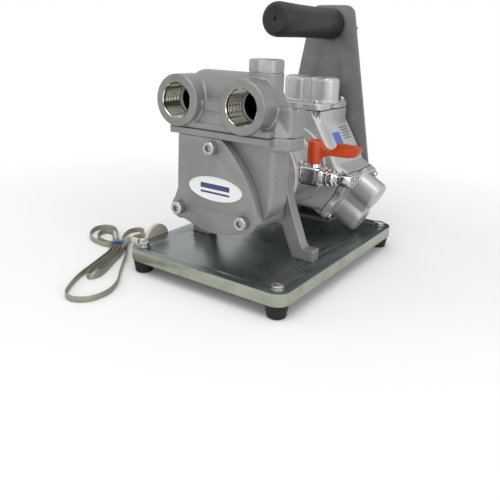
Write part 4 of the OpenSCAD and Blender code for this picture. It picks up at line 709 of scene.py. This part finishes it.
def lean_back(piece, top, front, lean):
    """Moves the top of a block's front face back. Measures in millimetres."""
    bpy.ops.object.mode_set(mode="EDIT")
    bpy.ops.mesh.select_mode(type="VERT")
    shape = bmesh.from_edit_mesh(piece.data)
    for point in shape.verts:
        point.select_set(point.co.z > (top - 0.1) * MM and point.co.y < front * MM)
    bmesh.update_edit_mesh(piece.data)
    bpy.ops.transform.translate(value=(0, lean * MM, 0))
    bpy.ops.object.mode_set(mode="OBJECT")
    return piece


# %% The bolt ear at the corner of the flange
# It stands above and below the seam. Two facets turn its front round to its side.
EAR_MIDDLE, EAR_SIZE, EAR_CORNER = (57.75, -80.25), (27.5, 28.5), 16
EAR_FRONT = -85
BOLT_WELL, WELL_RADIUS, WELL_LOW, WELL_HIGH = (61, -77), 6.9, 169, 182


def ear(name, low, high, lean=0):
    """The front of the ear leans back towards its top, and the bolt's well stays open."""
    piece = rounded_block(name, Vector((*EAR_MIDDLE, (low + high) / 2)) * MM, (*EAR_SIZE, high - low),
                          EAR_CORNER, corners="front right", facets=2)
    if lean:
        lean_back(piece, high, EAR_FRONT, lean)
        well = turned("bolt_well", (*BOLT_WELL, 0), Z, [(WELL_RADIUS, WELL_LOW), (WELL_RADIUS, WELL_HIGH)])
        combine(piece, well, "DIFFERENCE")
    return piece


# %% The wall between the necks
# It runs from the flange's front edge up to the cross bar, with a small ledge on it.
WEB_MIDDLE, WEB_SIZE, WEB_FRONT, WEB_LEAN = (-7.5, -89.5, 167), (39, 29, 26), -95, 6
LEDGE_MIDDLE, LEDGE_SIZE = (-8, -90, 176), (22, 24, 9)


def neck_wall():
    web = rounded_block("neck_web", Vector(WEB_MIDDLE) * MM, WEB_SIZE, 2)
    lean_back(web, WEB_MIDDLE[2] + WEB_SIZE[2] / 2, WEB_FRONT, WEB_LEAN)
    return [web, rounded_block("neck_ledge", Vector(LEDGE_MIDDLE) * MM, LEDGE_SIZE, 2, 1)]


# %% The lobes of a head
# Each head covers two cylinders, so it has two lobes side by side with a crease between.
LOBE_MIDDLE, LOBE_SIZE, LOBE_LOW, LOBE_HIGH = 16.9, (32.2, 29.5), 66, 96
LOBE_CORNER, LOBE_END = 13, 4
crank_middle_y = (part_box("cylinder_head_top")[0][1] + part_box("cylinder_head_top")[1][1]) / 2


def lobes(turn):
    across = Vector((math.cos(math.radians(turn)), 0, -math.sin(math.radians(turn))))
    centre = Vector((0, crank_middle_y, shaft_line_z)) + barrel(turn) * (LOBE_LOW + LOBE_HIGH) / 2 * MM
    return [rounded_block(f"lobe_{turn}_{side}", centre + across * side * LOBE_MIDDLE * MM,
                          (*LOBE_SIZE, LOBE_HIGH - LOBE_LOW), LOBE_CORNER, LOBE_END, turn, facets=8)
            for side in (-1, 1)]


# %% Round the castings
EAR_LOW, SEAM_HEIGHT, EAR_HIGH, EAR_LEAN = 141.5, 153.6, 179.5, 10
body_casting = sand_cast("pump_body", "pump_body_casting", 1.0, 5,
                         [(seam[0], Z), (cover_joint[1], Y), (stand_box[0], Y)],
                         [ear("body_ear", EAR_LOW, SEAM_HEIGHT)])
manifold_casting = sand_cast("port_manifold", "manifold_casting", 0.9, 7,
                             [(seam[1], Z), (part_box("port_manifold")[0], Y)],
                             [ear("manifold_ear", SEAM_HEIGHT, EAR_HIGH, EAR_LEAN)] + neck_wall())
castings = [
    body_casting,
    manifold_casting,
    sand_cast("pump_stand", "stand_casting", 0.9, 4, [(stand_box[0], Z)]),
    sand_cast("motor_housing", "housing_casting", 1.2, 4, [(housing_box[0], Y), (housing_box[1], Y)]),
    sand_cast("motor_crankcase", "crankcase_casting", 1.1, 6,
              [(shaft_point + barrel(turn) * BARREL_END, barrel(turn)) for turn in (0, 120, 240)]),
]
for side, turn in (("top", 0), ("right", 120), ("left", 240)):
    joint = (shaft_point + barrel(turn) * HEAD_LOW, barrel(turn))
    castings.append(sand_cast("cylinder_head_" + side, "head_casting_" + side, 0.75, 5, [joint], lobes(turn)))
print("castings", [len(p.data.polygons) for p in castings])

# %% [markdown]
# ## Machined and moulded pieces
# These keep flat faces and crisp outlines, with only a hair of roundness along their
# edges. Flat areas are first joined into single faces, because a bevel runs cleanly
# along real edges but not across leftover triangle sides.

# %% Break the edges of the machined pieces
def machined(node, width, segments=2, angle=35):
    piece = copy_node(node, node + "_dressed")
    edit_all(piece, bpy.ops.mesh.dissolve_limited, angle_limit=math.radians(0.6))
    if width:
        apply_modifier(piece, "BEVEL", width=width * MM, segments=segments, limit_method="ANGLE",
                       angle_limit=math.radians(angle), miter_outer="MITER_ARC", use_clamp_overlap=True)
    smooth_by_angle(piece, 32)
    finish_with(piece, slot_of_node[node])
    return stand_for(piece, node)


# Roundness of each piece's edges in millimetres, and 0 where they stay as they are
edge_width = {
    "base_plate": 0.5, "rubber_feet": 0, "foot_screws": 0.15, "foot_washers": 0.15, "stand_screws": 0,
    "cover_gasket": 0, "front_cover": 1.1, "cover_screws": 0.2, "manifold_gasket": 0, "manifold_screws": 0.2,
    "relief_cap": 0.35, "relief_washer": 0.1, "housing_screws": 0.15, "head_gaskets": 0, "head_screws": 0.15,
    "motor_rear_cover": 0.5, "exhaust_silencer": 0.3, "inlet_nipple": 0.2, "valve_body": 0.6, "valve_lever": 1.0,
    "lever_nut": 0.2, "air_plug": 0.12, "handle_bracket": 0.6, "bracket_screws": 0.25, "handle_bolt": 0.25,
    "handle_nut": 0.3, "handle_grip": 0, "grip_end_cap": 0.25, "strap_lug": 0.25, "strap_tie": 0.3,
    "strap_magnet": 0.2,
}
dressed = {node: machined(node, width) for node, width in edge_width.items()}
print("machined pieces", len(dressed))

# %% The strap and the pieces on it
print("strap, lug, tie and magnet dressed as separate pieces")

# %% [markdown]
# ## The two ports
# Each port is faced flat and tapped with a pipe thread. The face and the mouth are rings
# turned from a profile. The thread is a helix: the Screw modifier carries a small
# triangle round the port's axis and forward by one pitch a turn, as a tap does.

# %% Face and mouth of a port
def ride_with(piece, node):
    """An extra piece that moves with the node."""
    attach(piece, body_of_node[node])


def machine_port(side, x):
    at = (x, PORT_FACE_Y, PORT_Z)
    face = turned("port_face_" + side, at, Y,
                  [(17.2, -0.15), (24.2, -0.15), (24.95, 0.6), (24.95, 2), (17.2, 2)], 96, ring=True)
    mouth = turned("port_mouth_" + side, at, Y,
                   [(16.4, 24), (16.4, 0.55), (16.95, -0.2), (17.2, -0.2), (17.2, 2.5), (17, 3.5), (17, 24)], 96,
                   ring=True)
    for piece, finish in ((face, machined_face), (mouth, cut_thread)):
        smooth_by_angle(piece, 20)
        finish_with(piece, finish)
        ride_with(piece, "port_manifold")


# %% Thread of a port
THREAD_PITCH, THREAD_TURNS, THREAD_MIDDLE_R, THREAD_SIDE_R = 2.309, 9, 16.6, 0.5
THREAD_START_Y = PORT_FACE_Y + 2.6


def tap_port(side, x):
    start = Vector((x + THREAD_MIDDLE_R, THREAD_START_Y, PORT_Z)) * MM
    bpy.ops.object.select_all(action="DESELECT")
    bpy.ops.mesh.primitive_circle_add(vertices=3, radius=THREAD_SIDE_R * MM, location=start,
                                      rotation=(0, 0, math.radians(90)))
    thread = added("port_thread_" + side)
    bpy.context.scene.cursor.location = Vector((x, THREAD_START_Y, PORT_Z)) * MM
    bpy.ops.object.origin_set(type="ORIGIN_CURSOR")
    apply_modifier(thread, "SCREW", axis="Y", screw_offset=THREAD_PITCH * MM, iterations=THREAD_TURNS,
                   steps=60, render_steps=60, use_smooth_shade=False)
    bpy.ops.object.transform_apply(location=True)
    bpy.ops.object.mode_set(mode="EDIT")
    bpy.ops.mesh.select_all(action="SELECT")
    bpy.ops.mesh.remove_doubles(threshold=0.01 * MM)
    bpy.ops.mesh.fill_holes(sides=4)
    face_outwards(thread)
    smooth_by_angle(thread, 30)
    finish_with(thread, cut_thread)
    ride_with(thread, "port_manifold")
    return thread


for side, x in PORTS:
    machine_port(side, x)
    thread = tap_port(side, x)
    print("port", side, "thread faces", len(thread.data.polygons), "at", [round(v, 4) for v in thread.dimensions])
finish_with(manifold_casting, shaded_casting)

# %% Bright rings on the air inlet
INLET = (0, 3, 102)
for name, stations in (
        ("inlet_seal_ring", [(9, 30.4), (12.6, 30.4), (13.4, 31.1), (13.4, 32), (12.6, 32.7), (9, 32.7)]),
        ("inlet_collar", [(9, 35), (10.6, 35), (11.2, 35.6), (11.2, 36.6), (10.6, 37.2), (9, 37.2)])):
    ring = turned(name, INLET, X, stations, 64, ring=True)
    smooth_by_angle(ring, 50)
    finish_with(ring, "chrome_plate")
    ride_with(ring, "inlet_nipple")
    print(name, "faces", len(ring.data.polygons))

# %% [markdown]
# ## The relief spring
# The spring is dressed like a machined piece, with no edges broken, and is given a mesh of its own.

# %% The spring's own mesh
CAP_AT = (30, -70)
CAP_AXIS = Vector((*CAP_AT, 0)) * MM
spring = machined("relief_spring", 0)
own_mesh(spring)

# %% [markdown]
# ## Cap, badge and label
# The hexagon cap is screwed home, and where its flats stop is chance: here one of them
# faces forward and a little to the right. The bar it was made from was turned before its
# flats were milled, so what the two shapes share is kept. The badge is an enamelled oval
# with a raised rim, made from a squashed circle by inset and extrude. It carries no name,
# only two plain bars. The label is a printed sheet with one blue field and a few rules.

# %% Turn the cap to its stop
CAP_TURN = 10
cap = dressed["relief_cap"]
only(cap)
bpy.ops.object.mode_set(mode="EDIT")
bpy.ops.mesh.select_all(action="SELECT")
bpy.ops.transform.rotate(value=math.radians(CAP_TURN), orient_axis="Z", center_override=CAP_AXIS)
bpy.ops.object.mode_set(mode="OBJECT")
cap_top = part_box("relief_cap")[1][2] / MM
blank = turned("cap_blank", (*CAP_AT, cap_top), Z, [(16.2, -90), (16.2, -1.3), (14.1, 0.02)])
combine(cap, blank, "INTERSECT")
smooth_by_angle(cap, 12)
print("cap box", [round(v, 4) for v in cap.dimensions])

# %% The oval badge
RIM_EDGE, RIM_WIDTH, RIM_SLOPE = 0.5 * MM, 0.7 * MM, 0.3 * MM
badge_low, badge_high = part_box("badge_plate")
badge_middle = (badge_low + badge_high) / 2
badge_w, badge_t, badge_h = badge_high - badge_low
bpy.ops.object.select_all(action="DESELECT")
bpy.ops.mesh.primitive_circle_add(vertices=96, radius=0.5, fill_type="NGON", rotation=(math.radians(90), 0, 0),
                                  location=(badge_middle.x, badge_high.y, badge_middle.z))
bpy.context.object.scale = (badge_w, badge_h, 1)
badge = added("oval_badge")
bpy.ops.object.mode_set(mode="EDIT")
bpy.ops.mesh.select_mode(type="FACE")
bpy.ops.mesh.select_all(action="SELECT")
bpy.ops.mesh.extrude_region_move(TRANSFORM_OT_translate={"value": (0, -badge_t, 0)})
for width in (RIM_EDGE, RIM_WIDTH, RIM_SLOPE):
    bpy.ops.mesh.inset(thickness=width)
bpy.ops.transform.translate(value=(0, RIM_SLOPE, 0))
face_outwards(badge)
smooth_by_angle(badge, 20)
stand_for(badge, "badge_plate")
print("badge faces", len(badge.data.polygons))


# %% Print plain bars on a finish
def band(tree, value, low, high, soft=0.12):
    """One between low and high, in millimetres, with a slightly soft edge."""
    rise = spread(tree, value, (low - soft) * MM, (low + soft) * MM)
    fall = spread(tree, value, (high + soft) * MM, (high - soft) * MM)
    return maths(tree, "MULTIPLY", rise, fall, clamp=True)


def print_bars(material, bars, across, along, middle):
    """Prints plain bars on a finish: each is its left and right, low and high side and colour."""
    tree = material.node_tree
    shader = tree.nodes["Principled BSDF"]
    place = put(tree, "ShaderNodeTexCoord").outputs["Object"]
    place = put(tree, "ShaderNodeVectorMath", {"operation": "SUBTRACT"}, {0: place, 1: middle}).outputs[0]
    u = put(tree, "ShaderNodeVectorMath", {"operation": "DOT_PRODUCT"}, {0: place, 1: across}).outputs["Value"]
    v = put(tree, "ShaderNodeVectorMath", {"operation": "DOT_PRODUCT"}, {0: place, 1: along}).outputs["Value"]
    colour = shader.inputs["Base Color"].links[0].from_socket
    for left, right_side, low, high, ink in bars:
        share = maths(tree, "MULTIPLY", band(tree, u, left, right_side), band(tree, v, low, high))
        colour = blend_colours(tree, share, colour, ink)
    tree.links.new(colour, shader.inputs["Base Color"])


NAVY = (0.02, 0.035, 0.13, 1)
print_bars(finishes["badge_white"], [(-17, 17, -0.5, 4.5, NAVY), (-17, 17, -5, -3, NAVY)], X, Z, badge_middle)
finish_with(badge, "badge_white")
print("bars printed")

# %% The printed label
LABEL_TURN = math.radians(60)
face_across = Vector((math.cos(LABEL_TURN), 0, -math.sin(LABEL_TURN)))
INK, BLUE = (0.09, 0.1, 0.12, 1), (0.03, 0.09, 0.42, 1)
rules = [(-17 + 3.4 * i, -15.6 + 3.4 * i, 81, 100, INK) for i in range(5)]
print_bars(finishes["label_white"], [(-12, 4, 59, 76, BLUE)] + rules, face_across, Y, shaft_point)
label = machined("data_label", 0.1, 1)
print("label faces", len(label.data.polygons))

# %% [markdown]
# ## The stage
# A pale floor and a pale world give the even light of a white studio. The camera and
# mirror-like surfaces see plain white all round, while matt surfaces get a softer share
# of it, so that the lamps can still model the shapes. One large lamp overhead, a little
# in front, draws the long highlights on the round heads.

# %% Floor
def seen_or_mirrored(tree):
    """One for rays of the camera, of reflections and through glass, and nought for the rest."""
    path = put(tree, "ShaderNodeLightPath").outputs
    return maths(tree, "MAXIMUM", path["Is Camera Ray"],
                 maths(tree, "MAXIMUM", path["Is Glossy Ray"], path["Is Transmission Ray"]))


bpy.ops.object.select_all(action="DESELECT")
bpy.ops.mesh.primitive_plane_add(size=12, location=(0, 0, 0))
floor = bpy.context.object
floor.name = "floor"
floor_material, tree, shader = start_material("floor", 0.0, 0.9, (0.93, 0.93, 0.93, 1))
shader.inputs["Specular IOR Level"].default_value = 0.1
place = put(tree, "ShaderNodeTexCoord").outputs["Object"]
away = put(tree, "ShaderNodeVectorMath", {"operation": "LENGTH"}, {0: place}).outputs["Value"]
seen = seen_or_mirrored(tree)
fade = maths(tree, "MULTIPLY", spread(tree, away, 0.25, 0.6), seen)
white = put(tree, "ShaderNodeEmission", {}, {"Color": (1, 1, 1, 1), "Strength": 1.0})
mixed = put(tree, "ShaderNodeMixShader", {}, {0: fade, 1: shader.outputs[0], 2: white.outputs[0]})
tree.links.new(mixed.outputs[0], tree.nodes["Material Output"].inputs["Surface"])
floor.data.materials.append(floor_material)
print("floor", [round(v, 1) for v in floor.dimensions])

# %% World
world = bpy.data.worlds.new("studio")
world.use_nodes = True
bpy.context.scene.world = world
tree = world.node_tree
tree.nodes.clear()
seen = seen_or_mirrored(tree)
soft = put(tree, "ShaderNodeBackground", {}, {"Color": (1, 1, 1, 1), "Strength": 0.62})
plain = put(tree, "ShaderNodeBackground", {}, {"Color": (1, 1, 1, 1), "Strength": 1.0})
both = put(tree, "ShaderNodeMixShader", {}, {0: seen, 1: soft.outputs[0], 2: plain.outputs[0]})
tree.links.new(both.outputs[0], put(tree, "ShaderNodeOutputWorld").inputs["Surface"])


def facing(place, aim):
    return (Vector(aim) - Vector(place)).to_track_quat("-Z", "Y").to_euler()


# %% Lamps
def lamp(name, place, aim, size, watts):
    data = bpy.data.lights.new(name, "AREA")
    data.shape, data.size, data.energy = "DISK", size, watts
    made = link(bpy.data.objects.new(name, data))
    made.location = place
    made.rotation_euler = facing(place, aim)


middle = (0, 0, 0.12)
lamp("overhead_lamp", (0.2, -0.7, 1.6), middle, 1.4, 11)
lamp("front_lamp", (1.0, -2.0, 0.7), middle, 1.5, 9)
lamp("right_lamp", (1.6, -0.5, 0.6), middle, 0.9, 6)
lamp("left_lamp", (-1.6, -0.9, 0.8), middle, 1.0, 3)
bpy.context.scene.view_settings.view_transform = "Standard"
print("lamps", len(bpy.data.lights))


# %% Dark cards that only reflections see, so that bright plating has something to mirror
def dark_card(name, place, aim, width, height):
    bpy.ops.object.select_all(action="DESELECT")
    bpy.ops.mesh.primitive_plane_add(size=1, location=place)
    card = bpy.context.object
    card.name = name
    card.scale = (width, height, 1)
    card.rotation_euler = facing(place, aim)
    material = bpy.data.materials.get("card") or start_material("card", 0.0, 1.0, (0.03, 0.03, 0.03, 1))[0]
    card.data.materials.append(material)
    card.visible_camera = card.visible_diffuse = card.visible_shadow = False


dark_card("card_behind_camera", (0.9, -1.6, 0.25), middle, 0.3, 1.2)
dark_card("card_left", (-1.3, -1.1, 0.5), middle, 0.35, 1.2)
dark_card("card_behind", (-0.2, 1.3, 0.4), middle, 1.2, 0.9)
print("stage ready")
